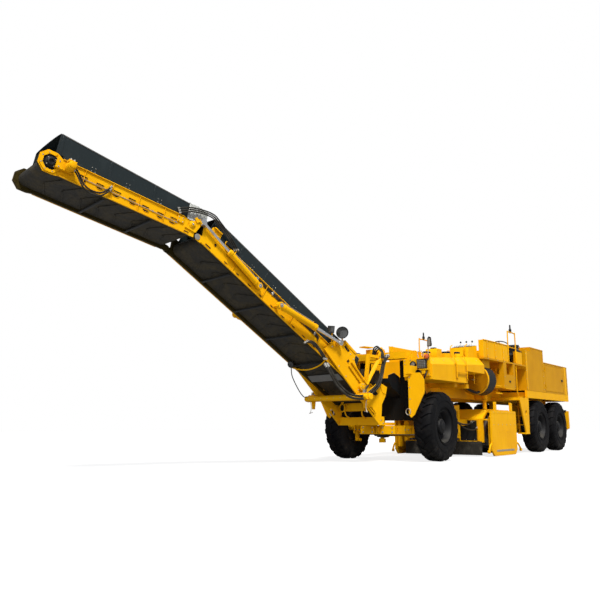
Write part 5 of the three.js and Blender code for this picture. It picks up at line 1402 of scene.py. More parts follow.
def cushion(name, place, size, tilt, channels):
    """A crowned pad whose sides pull in, with sewn channels across it. size is length, width, thickness."""
    steps = (22, 22, 6)
    verts, faces, index = [], [], {}

    def point(i, j, k):
        if (i, j, k) not in index:
            a, b, c = (2 * n / m - 1 for n, m in zip((i, j, k), steps))
            pull = 1 - 0.05 * (abs(a) ** 4 + abs(b) ** 4) - 0.10 * c * c * max(abs(a), abs(b)) ** 6
            crown = (1 - abs(a) ** 3.2) ** 0.4 * (1 - abs(b) ** 3.2) ** 0.4 * 0.22 + 0.78
            groove = 0.0
            for channel in channels:
                groove += math.exp(-((a - channel) / 0.035) ** 2)
            groove = min(groove, 1) * (0.16 if c > 0 else 0.0) * (1 if abs(b) < 0.93 else 0.2)
            seam = 0.012 * math.exp(-(c / 0.12) ** 2)
            z = c * (crown if c > 0 else 0.9) - groove * max(c, 0)
            index[(i, j, k)] = len(verts)
            verts.append(Vector((a * size[0] / 2 * (pull + seam), b * size[1] / 2 * (pull + seam),
                                 z * size[2] / 2)))
        return index[(i, j, k)]

    n, m, q = steps
    for i in range(n):
        for j in range(m):
            faces.append((point(i, j, 0), point(i, j + 1, 0), point(i + 1, j + 1, 0), point(i + 1, j, 0)))
            faces.append((point(i, j, q), point(i + 1, j, q), point(i + 1, j + 1, q), point(i, j + 1, q)))
    for k in range(q):
        for i in range(n):
            faces.append((point(i, 0, k), point(i + 1, 0, k), point(i + 1, 0, k + 1), point(i, 0, k + 1)))
            faces.append((point(i, m, k), point(i, m, k + 1), point(i + 1, m, k + 1), point(i + 1, m, k)))
        for j in range(m):
            faces.append((point(0, j, k), point(0, j, k + 1), point(0, j + 1, k + 1), point(0, j + 1, k)))
            faces.append((point(n, j, k), point(n, j + 1, k), point(n, j + 1, k + 1), point(n, j, k + 1)))
    grid = MACHINE @ Matrix.Translation(place) @ Matrix.Rotation(math.radians(tilt), 4, "Y")
    shape = Shape()
    shape.add(verts, faces)
    piece = shape.make(name, "chassis", grid, VINYL, bevel=0, smooth=80)
    smooth = piece.modifiers.new("soft", "SUBSURF")
    smooth.levels = smooth.render_levels = 1
    return piece


def add_seat():
    seat_x = -4.70
    base = Shape()
    base.box(seat_x - 0.19, seat_x + 0.19, 0.70, 1.06, 2.2405, 2.255)
    base.lathe((seat_x, 0.88, 2.255), (0, 0, 1), [(0, 0.10), (0.02, 0.10), (0.03, 0.06), (0.10, 0.055),
                                                  (0.10, 0.10), (0.13, 0.11), (0.145, 0.11)], 24)
    for k in range(5):
        base.lathe((seat_x, 0.88, 2.285 + 0.018 * k), (0, 0, 1),
                   [(0, 0.07), (0.006, 0.10), (0.012, 0.10), (0.017, 0.07)], 24)
    base.side([(seat_x - 0.24, 2.40), (seat_x + 0.22, 2.40), (seat_x + 0.22, 2.42), (seat_x - 0.23, 2.42)],
              0.66, 1.10)
    base.side([(seat_x - 0.235, 2.42), (seat_x - 0.31, 2.79), (seat_x - 0.325, 2.79), (seat_x - 0.25, 2.40)],
              0.68, 1.08)
    for _, sign in SIDES:
        y = 0.88 + sign * 0.245
        base.tube([(seat_x - 0.22, y, 2.45), (seat_x - 0.23, y, 2.60), (seat_x - 0.10, y, 2.625),
                   (seat_x + 0.10, y, 2.615)], 0.012, 8, 5)
    frame_piece = base.make("seat_frame", "chassis", MACHINE, DARK, bevel=0.002)
    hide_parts("operator_seat")
    cushion("seat_cushion", (seat_x + 0.005, 0.88, 2.475), (0.47, 0.44, 0.115), -3, (-0.45, 0.0, 0.45))
    cushion("seat_back", (seat_x - 0.235, 0.88, 2.655), (0.29, 0.42, 0.085), -79, (-0.35, 0.35))


# ---------------------------------------------------------------- engine hood
HOOD_SIDE = 1.21
HOOD_REAR = -8.78


def add_hood():
    trim, bolts, dark, louvres, slats, gap, strips = (Shape() for _ in range(7))
    for side, sign in SIDES:
        skin = sign * (HOOD_SIDE - 0.001)
        out = sign * (HOOD_SIDE + 0.006)
        trim.box(-5.115, -5.075, skin, out, 1.61, 2.64)
        trim.box(-6.52, -6.47, skin, out, 1.61, 2.755)
        strips.box(-8.62, -8.50, skin, out, 1.50, 2.425)
        strips.box(-5.20, -5.13, skin, sign * (HOOD_SIDE + 0.004), 1.63, 2.62)
        trim.box(-8.77, -5.08, skin, sign * (HOOD_SIDE + 0.004), 1.602, 1.628)
        trim.side([(-5.50, 2.735), (-6.55, 2.735), (-6.55, 2.765), (-5.50, 2.765)], skin, out)
        trim.side([(-6.58, 2.415), (-8.77, 2.415), (-8.77, 2.435), (-6.58, 2.435)], skin, out)
        trim.tube([(-5.30, sign * 1.0, 2.66), (-5.30, sign * 1.0, 2.75), (-5.24, sign * 1.0, 2.78),
                   (-5.16, sign * 1.0, 2.78), (-5.10, sign * 1.0, 2.75),
                   (-5.10, sign * 1.0, 2.645)], 0.011, 8, 5)
        for k in range(11 if sign < 0 else 0):
            z = 1.75 + 0.072 * k
            louvres.side([(-6.35, z), (-5.55, z), (-5.55, z + 0.012), (-6.35, z + 0.012)], skin,
                         sign * (HOOD_SIDE + 0.012))
        for x in (-5.095, -6.495, -8.745):
            for k in range(5):
                bolts.bolt((x, out, 1.68 + k * (0.22 if x > -6 else 0.18)), (0, sign, 0), 0.009)
        # the door
        door = Shape()
        for z0, z1 in ((1.655, 1.668), (2.372, 2.385)):
            door.box(-8.315, -6.665, skin, sign * (HOOD_SIDE + 0.004), z0, z1)
        for x0, x1 in ((-8.315, -8.302), (-6.678, -6.665)):
            door.box(x0, x1, skin, sign * (HOOD_SIDE + 0.004), 1.668, 2.372)
        door.make(f"{side}_door_ribs", f"{side}_door", MACHINE, HOOD_YELLOW_PAINTED_SHADE, bevel=0.002)
        vents = Shape()
        for x in (-8.26, -6.73):
            for k in range(5):
                vents.bolt((x - 0.02, sign * (HOOD_SIDE + 0.0045), 1.76 + 0.13 * k), (0, sign, 0), 0.008)
        vents.make(f"{side}_door_screws", f"{side}_door", MACHINE, HOOD_YELLOW_PAINTED_SHADE, bevel=0.003)
        latch = Shape()
        latch.box(-8.26, -8.14, sign * (HOOD_SIDE + 0.004), sign * (HOOD_SIDE + 0.02), 1.98, 2.03)
        latch.tube([(-8.24, sign * (HOOD_SIDE + 0.018), 2.0), (-8.24, sign * (HOOD_SIDE + 0.03), 2.0),
                    (-8.16, sign * (HOOD_SIDE + 0.03), 2.0),
                    (-8.16, sign * (HOOD_SIDE + 0.018), 2.0)], 0.006, 8, 3)
        latch.make(f"{side}_door_latch", f"{side}_door", MACHINE, DARK, bevel=0.001)
    strips.make("hood_edge_strips", "chassis", MACHINE, YELLOW, bevel=0.001)
    louvres.make("hood_louvres", "chassis", MACHINE, HOOD_YELLOW_PAINTED_SHADE, bevel=0.003)
    # roof
    for y in (-0.7, 0.7):
        trim.box(-6.50, -5.55, y - 0.02, y + 0.02, 2.769, 2.781)
        trim.box(-8.70, -6.62, y - 0.02, y + 0.02, 2.439, 2.449)
    for x in (-6.1, -5.8):
        trim.box(x, x + 0.03, -1.15, 1.15, 2.769, 2.776)
    dark.lathe((-6.15, -0.35, 2.765), (0, 0, 1), [(0, 0.12), (0.01, 0.12), (0.015, 0.085), (0.16, 0.085),
                                                  (0.17, 0.095), (0.19, 0.095), (0.19, 0.075), (0.05, 0.07)],
                                                  28)
    dark.tube([(-7.3, 0.35, 2.436), (-7.3, 0.35, 2.60), (-7.33, 0.35, 2.68), (-7.42, 0.35, 2.72)], 0.07, 20,
              6)
    dark.lathe((-7.3, 0.35, 2.438), (0, 0, 1), [(0, 0.12), (0.012, 0.12), (0.016, 0.10), (0.10, 0.095),
                                                (0.11, 0.07)], 28)
    for x in (-7.9, -6.8):
        for y in (-0.8, 0.8):
            dark.tube([(x, y, 2.438), (x, y, 2.48), (x - 0.12, y, 2.48), (x - 0.12, y, 2.438)], 0.008, 8, 3)
    # Painted shadow: black strips for the roof vents.
    for k in range(9):
        gap.box(-8.45, -7.85, -0.42 + 0.1 * k, -0.37 + 0.1 * k, 2.4395, 2.4415)
    # radiator grille in the rear opening
    slats_x = HOOD_REAR + 0.012
    for k in range(15):
        z = 1.745 + 0.038 * k
        slats.side([(slats_x, z), (slats_x + 0.018, z + 0.014), (slats_x + 0.016, z + 0.018),
                    (slats_x - 0.002, z + 0.004)], -0.79, 0.79)
    for y in (-0.797, -0.27, 0.262, 0.789):
        slats.box(slats_x - 0.006, slats_x + 0.016, y, y + 0.008, 1.722, 2.318)
    core = Shape()
    core.box(-8.7485, -8.742, -0.85, 0.85, 1.60, 2.37)
    for k in range(44):
        core.box(-8.7515, -8.7485, -0.84 + 0.0385 * k, -0.836 + 0.0385 * k, 1.62, 2.35)
    for y in (-1.0, 1.0):
        for z in (1.70, 2.0, 2.36):
            bolts.bolt((HOOD_REAR, y, z), (-1, 0, 0), 0.01)
    trim.box(HOOD_REAR - 0.004, HOOD_REAR + 0.001, -0.86, 0.86, 1.66, 1.70)
    trim.box(HOOD_REAR - 0.004, HOOD_REAR + 0.001, -0.86, 0.86, 2.34, 2.38)
    trim.make("hood_trim", "chassis", MACHINE, HOOD_YELLOW_PAINTED_SHADE, bevel=0.002)
    bolts.make("hood_bolts", "chassis", MACHINE, ZINC, bevel=0)
    dark.make("hood_stacks_and_handles", "chassis", MACHINE, DARK, bevel=0.001)
    slats.make("radiator_grille", "chassis", MACHINE, DARK, bevel=0)
    core.make("radiator_core", "chassis", MACHINE, GREY, bevel=0)
    gap.make("hood_roof_vents", "chassis", MACHINE, SHADOW_BLACK, bevel=0)
    engine = Shape()
    for i in range(6):
        engine.box(-7.75 + 0.3 * i, -7.55 + 0.3 * i, 0.4795, 0.50, 1.75, 2.15)
        engine.box(-7.75 + 0.3 * i, -7.55 + 0.3 * i, -0.4795, -0.50, 1.75, 2.15)
    for y in (0.50, -0.50):
        engine.tube([(-7.8, y, 2.18), (-7.2, y * 1.05, 2.2), (-6.6, y, 2.18), (-6.2, y, 2.05)], 0.035, 12, 5)
    engine.make("engine_covers", "chassis", MACHINE, GREY, bevel=0.01)


def add_rear():
    lamps, red, amber, steel = (Shape() for _ in range(4))
    face = -8.8303
    for _, sign in SIDES:
        lamps.box(face + 0.0005, face + 0.03, sign * 0.86, sign * 1.10, 0.93, 1.05)
        red.box(face + 0.0003, face + 0.004, sign * 0.87, sign * 0.95, 0.94, 1.04)
        amber.box(face + 0.0003, face + 0.004, sign * 0.96, sign * 1.03, 0.94, 1.04)
        lamps.side([(-8.79, 1.09), (-8.70, 1.09), (-8.70, 1.16), (-8.79, 1.16)], sign * 0.88, sign * 1.12)
        red.lathe((-8.781, sign * 1.03, 2.2), (-1, 0, 0),
                  [(0, 0.045), (0.014, 0.045), (0.022, 0.03), (0.024, 0.001)], 20)
        lamps.lathe((-8.7805, sign * 1.03, 2.2), (-1, 0, 0), [(0, 0.056), (0.010, 0.056), (0.012, 0.046)], 20)
        for z in (0.55, 0.75):
            steel.bolt((face + 0.0009, sign * 0.5, z), (-1, 0, 0), 0.0004)
    steel.lathe((-8.70, 0, 0.78), (-1, 0, 0), [(0, 0.10), (0.02, 0.10), (0.03, 0.07), (0.06, 0.07)], 24)
    steel.tube([(-8.75, -0.06, 0.74), (-8.80, -0.05, 0.70), (-8.815, 0.0, 0.68), (-8.80, 0.05, 0.70),
                (-8.75, 0.06, 0.74)], 0.014, 10, 5)
    lamps.make("rear_lamp_bodies", "chassis", MACHINE, DARK, bevel=0.001)
    red.make("rear_lamp_lenses", "chassis", MACHINE, RED_LENS, bevel=0)
    amber.make("rear_turn_lenses", "chassis", MACHINE, AMBER_LENS, bevel=0)
    steel.make("rear_hitch_and_bolts", "chassis", MACHINE, STEEL, bevel=0)
    ladder = Shape()
    for _, sign in SIDES:
        for z in (0.72, 0.95, 1.18):
            ladder.box(-5.05, -4.72, sign * 1.02, sign * 1.20, z - 0.008, z + 0.008)
        ladder.rod((-4.88, sign * 1.02, 0.53), (-4.88, sign * 1.02, 1.34), 0.014, 8)
        for x, z in ((-4.98, 1.35), (-4.60, 1.35), (-4.98, 0.62), (-4.98, 1.2)):
            ladder.bolt((x, sign * 1.24, z), (0, sign, 0), 0.004)
        ladder.tube([(-4.45, sign * 1.2, 1.40), (-4.36, sign * 1.2, 1.55), (-4.30, sign * 1.22, 1.9),
                     (-4.30, sign * 1.22, 2.19)], 0.014, 8, 5)
    ladder.make("step_treads", "chassis", MACHINE, YELLOW, bevel=0.002)


# ---------------------------------------------------------------- cutter unit
def add_cutter():
    teeth, holders = Shape(), Shape()
    rows = 38
    for i in range(rows):
        y = -0.93 + 1.86 * i / (rows - 1)
        for start in (0, 1, 2):
            angle = 2 * math.pi * (start / 3 + (i / 13.0) * (1 if y < 0 else -1))
            out = Vector((math.cos(angle), 0, math.sin(angle)))
            ahead = Vector((-out.z, 0, out.x))
            base = Vector((-3.22, y, 0.56)) + out * 0.425
            lean = (out * 0.55 + ahead * 0.8).normalized()
            holders.lathe(base - out * 0.01, lean, [(0, 0.024), (0.03, 0.022), (0.035, 0.016)], 8)
            teeth.lathe(base + lean * 0.02, lean, [(0, 0.012), (0.02, 0.012), (0.024, 0.009), (0.040, 0.001)],
                        8)
    holders.make("drum_tool_holders", "drum", MACHINE, STEEL, bevel=0)
    teeth.make("drum_picks", "drum", MACHINE, ZINC, bevel=0)
    trim, bolts = Shape(), Shape()
    for x in (-3.55, -3.30, -3.10, -2.90):
        trim.box(x, x + 0.03, -1.0, 1.0, 1.061, 1.08)
    for y in (-0.9, -0.45, 0.45, 0.9):
        trim.side([(-2.479, 0.34), (-2.479, 0.86), (-2.455, 0.84), (-2.455, 0.36)], y - 0.012, y + 0.012)
        trim.side([(-3.961, 0.24), (-3.961, 0.86), (-3.985, 0.84), (-3.985, 0.26)], y - 0.012, y + 0.012)
    for sign in (1, -1):
        for z in (1.0, 1.04):
            bolts.lathe((-3.43, sign * 0.7, z + 0.03), (0, 0, 1), [(0, 0.075), (0.01, 0.075)], 20)
        for k in range(6):
            bolts.bolt((-2.60 - 0.22 * k, sign * 1.05, 0.851), (0, 0, 1), 0.012)
    panel, curtain = Shape(), Shape()
    panel.box(-2.4795, -2.476, -0.86, 0.86, 0.36, 0.82)
    for k in range(9):
        for z in (0.385, 0.795):
            bolts.bolt((-2.476, -0.8 + 0.2 * k, z), (1, 0, 0), 0.010)
    for x in (-2.470, -3.972):
        for k in range(14):
            y = -0.97 + 0.139 * k
            curtain.box(x, x + 0.008, y, y + 0.1385, 0.035, 0.34)
    panel.make("housing_front_panel", "cutter", MACHINE, DARK, bevel=0.001)
    curtain.make("housing_curtains", "cutter", MACHINE, HOSE, bevel=0.001)
    trim.make("cutter_housing_ribs", "cutter", MACHINE, YELLOW, bevel=0.003)
    bolts.make("cutter_housing_bolts", "cutter", MACHINE, ZINC, bevel=0)
    for side, sign in SIDES:
        plate, fixings, shoe = Shape(), Shape(), Shape()
        plate.box(-3.98, -2.46, sign * 1.2445, sign * 1.2475, 0.98, 1.03)
        plate.box(-3.98, -3.92, sign * 1.2445, sign * 1.2475, 0.20, 0.98)
        plate.box(-2.52, -2.46, sign * 1.2445, sign * 1.2475, 0.20, 0.98)
        for x in (-3.74, -2.72):
            plate.box(x - 0.045, x + 0.045, sign * 1.2445, sign * 1.2475, 1.04, 1.21)
        for x in (-3.55, -3.10):
            plate.side([(x, 0.55), (x + 0.22, 0.55), (x + 0.22, 0.60), (x, 0.60)], sign * 1.2445,
                       sign * 1.2475)
        for k in range(6):
            for z in (1.005, 0.72):
                fixings.bolt((-3.90 + 0.27 * k, sign * 1.2452, z), (0, sign, 0), 0.0095)
        for x in (-3.74, -2.72):
            for z in (1.09, 1.18):
                fixings.bolt((x, sign * 1.2452, z), (0, sign, 0), 0.009)
        shoe.side([(-2.66, 0.115), (-3.80, 0.115), (-3.80, 0.155), (-2.66, 0.155)], sign * 1.2445,
                  sign * 1.2485)
        plate.make(f"{side}_shield_edges", f"{side}_shield", MACHINE, YELLOW, bevel=0.001)
        fixings.make(f"{side}_shield_bolts", f"{side}_shield", MACHINE, ZINC, bevel=0)
        shoe.make(f"{side}_shield_shoe", f"{side}_shield", MACHINE, ZINC, bevel=0.001)
        arms = Shape()
        arms.tube([(-4.03, sign * 1.22, 0.30), (-4.16, sign * 1.22, 0.26), (-4.28, sign * 1.22, 0.17),
                   (-4.33, sign * 1.22, 0.13)], 0.022, 10, 5)
        arms.tube([(-2.41, sign * 1.22, 0.30), (-2.33, sign * 1.22, 0.24), (-2.27, sign * 1.22, 0.14)], 0.022,
                  10, 5)
        for x in (-4.33, -2.27):
            arms.lathe((x, sign * 1.19, 0.12), (0, sign, 0),
                       [(0, 0.03), (0.005, 0.034), (0.045, 0.034), (0.05, 0.03)], 16)
        arms.make(f"{side}_shield_arms", f"{side}_shield", MACHINE, YELLOW, bevel=0)
    ends = Shape()
    for sign in (1, -1):
        for z in (1.08, 0.50):
            ends.lathe((-0.80, sign * 0.615, z), (0, sign, 0),
                       [(0, 0.045), (0.012, 0.045), (0.016, 0.034), (0.016, 0.001)], 18)
    ends.make("hanger_pin_caps", "chassis", MACHINE, ZINC, bevel=0)
    for name, z, body in (("upper", 1.08, "upper_links"), ("lower", 0.50, "lower_links")):
        bosses = Shape()
        for sign in (1, -1):
            y = sign * 0.56
            bosses.lathe((-1.84, y - 0.052, z), (0, 1, 0),
                         [(0, 0.05), (0.004, 0.062), (0.10, 0.062), (0.104, 0.05)], 20)
            bosses.rod((-1.70, y, z + 0.036), (-0.94, y, z + 0.036), 0.010, 8)
            for x in (-1.55, -1.10):
                bosses.box(x - 0.012, x + 0.012, y - 0.038, y + 0.038, z - 0.038, z + 0.046)
        bosses.make(f"{name}_link_trim", body, MACHINE, YELLOW, bevel=0.001)
    rods = Shape()
    for sign in (1, -1):
        rods.lathe((-3.43, sign * 0.7, 1.322), (0, 0, -1),
                   [(0, 0.068), (0.004, 0.078), (0.03, 0.078), (0.034, 0.05)], 24)
        rods.lathe((-3.43, sign * 0.7, 2.165), (0, 0, 1),
                   [(-0.06, 0.074), (-0.056, 0.08), (-0.02, 0.08), (0.012, 0.07)], 24)
        rods.tube([(-3.36, sign * 0.72, 1.50), (-3.34, sign * 0.72, 1.55), (-3.34, sign * 0.72, 2.0),
                   (-3.36, sign * 0.72, 2.06)], 0.010, 8, 4)
    rods.make("lift_cylinder_trim", "chassis", MACHINE, YELLOW, bevel=0)
    sleeves = Shape()
    for sign in (1, -1):
        sleeves.lathe((-3.43, sign * 0.7, 1.075), (0, 0, 1),
                      [(-0.014, 0.060), (-0.010, 0.064), (0.002, 0.064), (0.006, 0.0465)], 24)
    sleeves.make("lift_rod_sleeves", "cutter", MACHINE, CHROME, bevel=0)


# ---------------------------------------------------------------- under the frame
def add_underside():
    steel, tanks, hoses, bolts = Shape(), Shape(), Shape(), Shape()
    for x0, x1 in ((-6.6, -6.26), (-7.16, -7.0)):
        steel.lathe((x0, 0, 0.80), (x1 - x0, 0, 0),
                    [(0, 0.09), (0.02, 0.09), (0.03, 0.045), (x1 - x0 - 0.03, 0.045), (x1 - x0 - 0.02, 0.09),
                     (x1 - x0, 0.09)], 18)
    for sign in (1, -1):
        tanks.lathe((-1.40, sign * 0.30, 1.44), (1, 0, 0),
                    [(0, 0.04), (0.02, 0.075), (0.06, 0.09), (0.64, 0.09), (0.68, 0.075), (0.70, 0.04)], 24)
        for x in (-1.3, -0.85):
            tanks.box(x, x + 0.03, sign * 0.29, sign * 0.379, 1.43, 1.47)
        for x in (-0.5, 0.0):
            hoses.tube([(x, sign * 0.50, 1.50), (x - 0.03, sign * 0.58, 1.35), (x - 0.05, sign * 0.60, 1.05),
                        (x - 0.04, sign * 0.55, 0.9)], 0.014, 8, 6)
        for x in (-6.05, -7.714):
            for k in range(10):
                t = 2 * math.pi * k / 10
                bolts.bolt((x + 0.165 * math.cos(t), sign * 0.17, 0.685 + 0.165 * math.sin(t)), (0, sign, 0),
                           0.012)
            steel.lathe((x, sign * 0.70, 0.685), (0, sign, 0), [(-0.005, 0.12), (0.02, 0.12), (0.03, 0.10)],
                        20)
        for k in range(4):
            bolts.bolt((-6.882 + 0.2 * (k - 1.5), sign * 0.69, 0.93), (0, sign, 0), 0.014)
    steel.lathe((-6.882, 0, 0.90), (0, 1, 0), [(-0.17, 0.10), (-0.15, 0.115), (0.15, 0.115), (0.17, 0.10)],
                20)
    steel.make("drive_shafts", "chassis", MACHINE, STEEL, bevel=0)
    tanks.make("air_tanks", "chassis", MACHINE, DARK, bevel=0)
    hoses.make("frame_oil_lines", "chassis", MACHINE, HOSE, bevel=0)
    bolts.make("underframe_bolts", "chassis", MACHINE, ZINC, bevel=0)
    for side, sign in SIDES:
        hub = Shape()
        for z in (0.795, 0.575):
            hub.lathe((0, sign * 0.759, z + (0.041 if z > 0.7 else -0.041)), (0, 0, 1 if z > 0.7 else -1),
                      [(0, 0.05), (0.012, 0.05), (0.016, 0.04), (0.016, 0.001)], 20)
            for k in range(6):
                t = math.pi * k / 3
                hub.bolt((0.06 * math.cos(t), sign * 0.759 + 0.06 * math.sin(t),
                          z + (0.041 if z > 0.7 else -0.041)), (0, 0, 1 if z > 0.7 else -1), 0.007)
        hub.make(f"{side}_kingpin_caps", f"{side}_steering", MACHINE, ZINC, bevel=0)


add_deck()
add_console()
add_seat()
add_hood()
add_rear()
add_cutter()
add_underside()

# ---------------------------------------------------------------- hoses, canvas and far lamp
def hose(name, grid, points, radius, body=None, crossing=None, smooth=8, fitted=True):
    """A free hose through the points, with a swaged fitting at both ends. crossing is (body, body, first point, last
    point); its two points are not used.
    """
    line = [grid @ point for point in curve_through(points, smooth)]
    shape = Shape()
    shape.tube(line, radius, 12, 1)
    piece = shape.make(name, body, Matrix.Identity(4), HOSE, bevel=0)
    ends = []
    if fitted:
        for label, a, b, owner in (("start", line[0], line[1], body or crossing[0]),
                                   ("end", line[-1], line[-2], body or crossing[1])):
            fitting = Shape()
            out = (b - a).normalized()
            fitting.lathe(a - out * radius * 0.6, out,
                          [(0, radius * 1.25), (radius * 0.8, radius * 1.25), (radius * 0.9, radius * 1.6),
                           (radius * 1.9, radius * 1.6),
                                                        (radius * 2.0, radius * 1.15),
                                                        (radius * 3.6, radius * 1.15)], 12)
            ends.append(fitting.make(f"{name}_{label}_fitting", owner, Matrix.Identity(4), ZINC, bevel=0))
    length = sum((b - a).length for a, b in zip(line, line[1:]))
    if crossing:
        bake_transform(piece)
    return piece


def add_hoses():
    loop = [(2.12, .60, 1.80), (2.04, .68, 1.60), (1.95, .73, 1.43), (1.72, .76, 1.27), (1.47, .76, 1.235),
            (1.30, .76, 1.26),
            (1.09, .70, 1.335), (0.82, .64, 1.49), (0.65, .57, 1.69), (0.535, .53, 1.91), (0.37, .49, 2.07)]
    middle = Vector((1.40, 0, 1.85))
    for i in range(2):
        points = []
        for spot in loop:
            outward = Vector((spot[0], 0, spot[2])) - middle
            points.append(Vector(spot) + outward.normalized() * 0.052 * i)
        hose(f"conveyor_hose_{i + 1}", SLEW, points, 0.022,
             crossing=("lower_boom", "slew_yoke", SLEW @ Vector(points[1]), SLEW @ Vector(points[7])))
    for i in range(3):
        shift = 0.034 * i
        hose(f"boom_hose_{i + 1}", SLEW, [(2.62 - shift, .535, 2.15 + shift * 0.6),
                                          (2.50 - shift, .585, 2.15 + shift * 0.3), (2.35 - shift, .60, 2.04),
                                          (2.20 - shift, .60, 1.88)], 0.012, "lower_boom")
    for i in range(2):
        v = 0.045 * i
        hose(f"motor_hose_{i + 1}", UPPER, [(2.20, .60, .16 - v), (2.12, .61, .08 - v), (2.0, .575, -.02 - v),
                                            (1.87, .56, -.055 - v),
                                            (1.73, .56, -.03 - v), (1.64, .55, .06 - v),
                                            (1.58, .53, .15 - v)], 0.013, "upper_boom")
    lower_of = LOWER.inverted() @ UPPER
    for i in range(3):
        v = 0.033 * i
        points = [Vector((3.66 - 0.03 * i, .525, .245 + v)), Vector((3.88, .548, .325 + v)),
                  Vector((4.12, .56, .37 + v)),
                  Vector((4.34, .56, .385 + v)), lower_of @ Vector((.20, .555, .345 + v)),
                  lower_of @ Vector((.42 + 0.02 * i, .528, .235 + v))]
        hose(f"fold_hose_left_{i + 1}", LOWER, points, 0.0115,
             crossing=("lower_boom", "upper_boom", LOWER @ points[1], LOWER @ points[4]))
    hose("cutter_hose_left_1", MACHINE,
         [(-0.95, .485, 1.42), (-0.99, .60, 1.24), (-1.22, .73, .95), (-1.65, .77, .77), (-2.10, .77, .72),
          (-2.38, .76, .75), (-2.47, .75, .79)], 0.019,
         crossing=("chassis", "cutter", MACHINE @ Vector((-1.0, .7, .9)), MACHINE @ Vector((-2.3, .7, .9))))
    hose("cutter_hose_left_2", MACHINE,
         [(-1.10, .485, 1.42), (-1.13, .64, 1.20), (-1.35, .80, .86), (-1.75, .86, .66), (-2.15, .87, .60),
          (-2.40, .87, .62), (-2.47, .87, .66)], 0.015,
         crossing=("chassis", "cutter", MACHINE @ Vector((-1.1, .7, .8)), MACHINE @ Vector((-2.3, .7, .8))))
    far_lamp, far_glass = Shape(), Shape()
    work_lamp(far_lamp, far_glass, (2.11, -0.42, 1.855), (0.9, 0.25, -0.35), 0.066)
    far_lamp.rod((2.05, -0.42, 1.86), (2.03, -0.49, 1.86), 0.012, 8)
    far_lamp.make("side_lamp_bowl", "lower_boom", SLEW, DARK, bevel=0)
    far_glass.make("side_lamp_glass", "lower_boom", SLEW, DARK_LENS, bevel=0)
    cable = [(2.04, -0.495, 1.84), (2.00, -0.515, 1.66), (1.90, -0.52, 1.49), (1.74, -0.56, 1.33),
             (1.56, -0.66, 1.26), (1.41, -0.76, 1.265), (1.32, -0.81, 1.27)]
    hose("side_lamp_cable", SLEW, cable, 0.009, crossing=("lower_boom", "slew_yoke", SLEW @ Vector(cable[1]),
                                                          SLEW @ Vector(cable[4])))


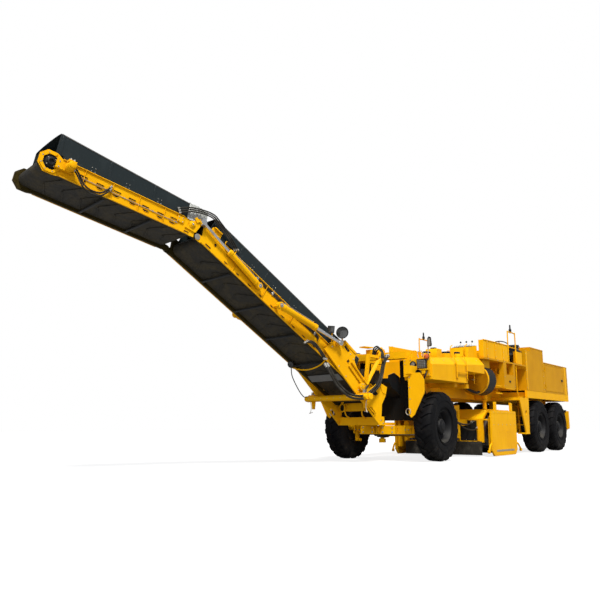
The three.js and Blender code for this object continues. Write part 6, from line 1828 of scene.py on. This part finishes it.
def add_canvas():
    """The canvas that covers the gap at the conveyor's fold, laid over the end of the upper cover."""
    front, rear, rows = 0.25, -0.11, 26
    rng = random.Random(5)
    phases = [rng.uniform(0, 6.28) for _ in range(8)]
    verts, faces, widths = [], [], []
    section = SECTIONS["upper"]
    for r in range(rows + 1):
        u = front + (rear - front) * r / rows
        arch = cover_arch(section, max(u, 0.06), 0.010, 56)
        foot = section["cover"][2]
        drop = [(arch[0][0] + 0.010, foot - 0.02 + 0.012 * k) for k in range(3)]
        line = drop + arch + [(-y, v) for y, v in reversed(drop)]
        sag = 0.018 * max(0.0, (0.06 - u) / 0.19)
        for k, (y, v) in enumerate(line):
            t = k / (len(line) - 1)
            crease = (math.sin(34 * t + phases[0] + 9 * u) * 0.35 + math.sin(61 * t - 17 * u + phases[1]) * 0.25
                      + math.sin(23 * u + 12 * t + phases[2]) * 0.4)
            lift = 0.006 + 0.006 * crease + 0.004 * math.sin(90 * u + phases[3]) * abs(math.sin(5 * t + phases[4]))
            side_out = (1 if y > 0 else -1) * max(lift, 0.0) if abs(y) > 0.47 else 0
            verts.append(Vector((u + 0.006 * math.sin(18 * t + phases[5]), y + side_out,
                                 v + max(lift, 0.001) - sag)))
        widths.append(sum((verts[-i] - verts[-i - 1]).length for i in range(1, len(line))))
    count = len(line)
    for r in range(rows):
        for k in range(count - 1):
            faces.append((r * count + k, r * count + k + 1, (r + 1) * count + k + 1, (r + 1) * count + k))
    shape = Shape()
    shape.add(verts, faces)
    cloth = shape.make("fold_canvas", None, UPPER, CANVAS, bevel=0, smooth=80)
    UPPER @ Vector((-0.16, 0, 0.25))
    UPPER @ Vector((0.05, 0, 0.25))
    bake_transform(cloth)


add_hoses()
add_canvas()


# ---------------------------------------------------------------- floor and surroundings
def add_floor():
    shape = Shape()
    shape.flat([(-60, -60), (60, -60), (60, 60), (-60, 60)], -0.02, -0.001)
    board = Board("pale_floor")
    seen = board.node("ShaderNodeLightPath", {}, {}, "Is Camera Ray")
    plain = board.node("ShaderNodeBsdfDiffuse", {}, {"Color": (0.3, 0.3, 0.3, 1)})
    bright = board.node("ShaderNodeEmission", {}, {"Color": (1, 1, 1, 1), "Strength": seen * 0.8})
    both = board.node("ShaderNodeAddShader", {}, {0: plain, 1: bright})
    board.node("ShaderNodeOutputMaterial", {}, {"Surface": both})
    data = bpy.data.meshes.new("floor")
    data.from_pydata([MACHINE @ v for v in shape.verts], [], shape.faces)
    data.materials.append(board.material)
    floor = bpy.data.objects.new("floor", data)
    bpy.context.scene.collection.objects.link(floor)


def add_world():
    world = bpy.data.worlds.new("studio")
    world.use_nodes = True
    tree = world.node_tree
    tree.nodes.clear()
    path = tree.nodes.new("ShaderNodeLightPath")
    direct = tree.nodes.new("ShaderNodeMath")
    direct.operation = "MAXIMUM"
    tree.links.new(path.outputs["Is Camera Ray"], direct.inputs[0])
    tree.links.new(path.outputs["Is Transmission Ray"], direct.inputs[1])
    soft = tree.nodes.new("ShaderNodeBackground")
    soft.inputs["Color"].default_value = (0.9, 0.93, 1, 1)
    soft.inputs["Strength"].default_value = 0.42
    white = tree.nodes.new("ShaderNodeBackground")
    choose = tree.nodes.new("ShaderNodeMixShader")
    tree.links.new(direct.outputs[0], choose.inputs[0])
    tree.links.new(soft.outputs[0], choose.inputs[1])
    tree.links.new(white.outputs[0], choose.inputs[2])
    white.inputs["Color"].default_value = (1, 1, 1, 1)
    out = tree.nodes.new("ShaderNodeOutputWorld")
    tree.links.new(choose.outputs[0], out.inputs[0])
    bpy.context.scene.world = world


add_floor()
add_world()
bpy.context.scene.view_settings.view_transform = "Standard"
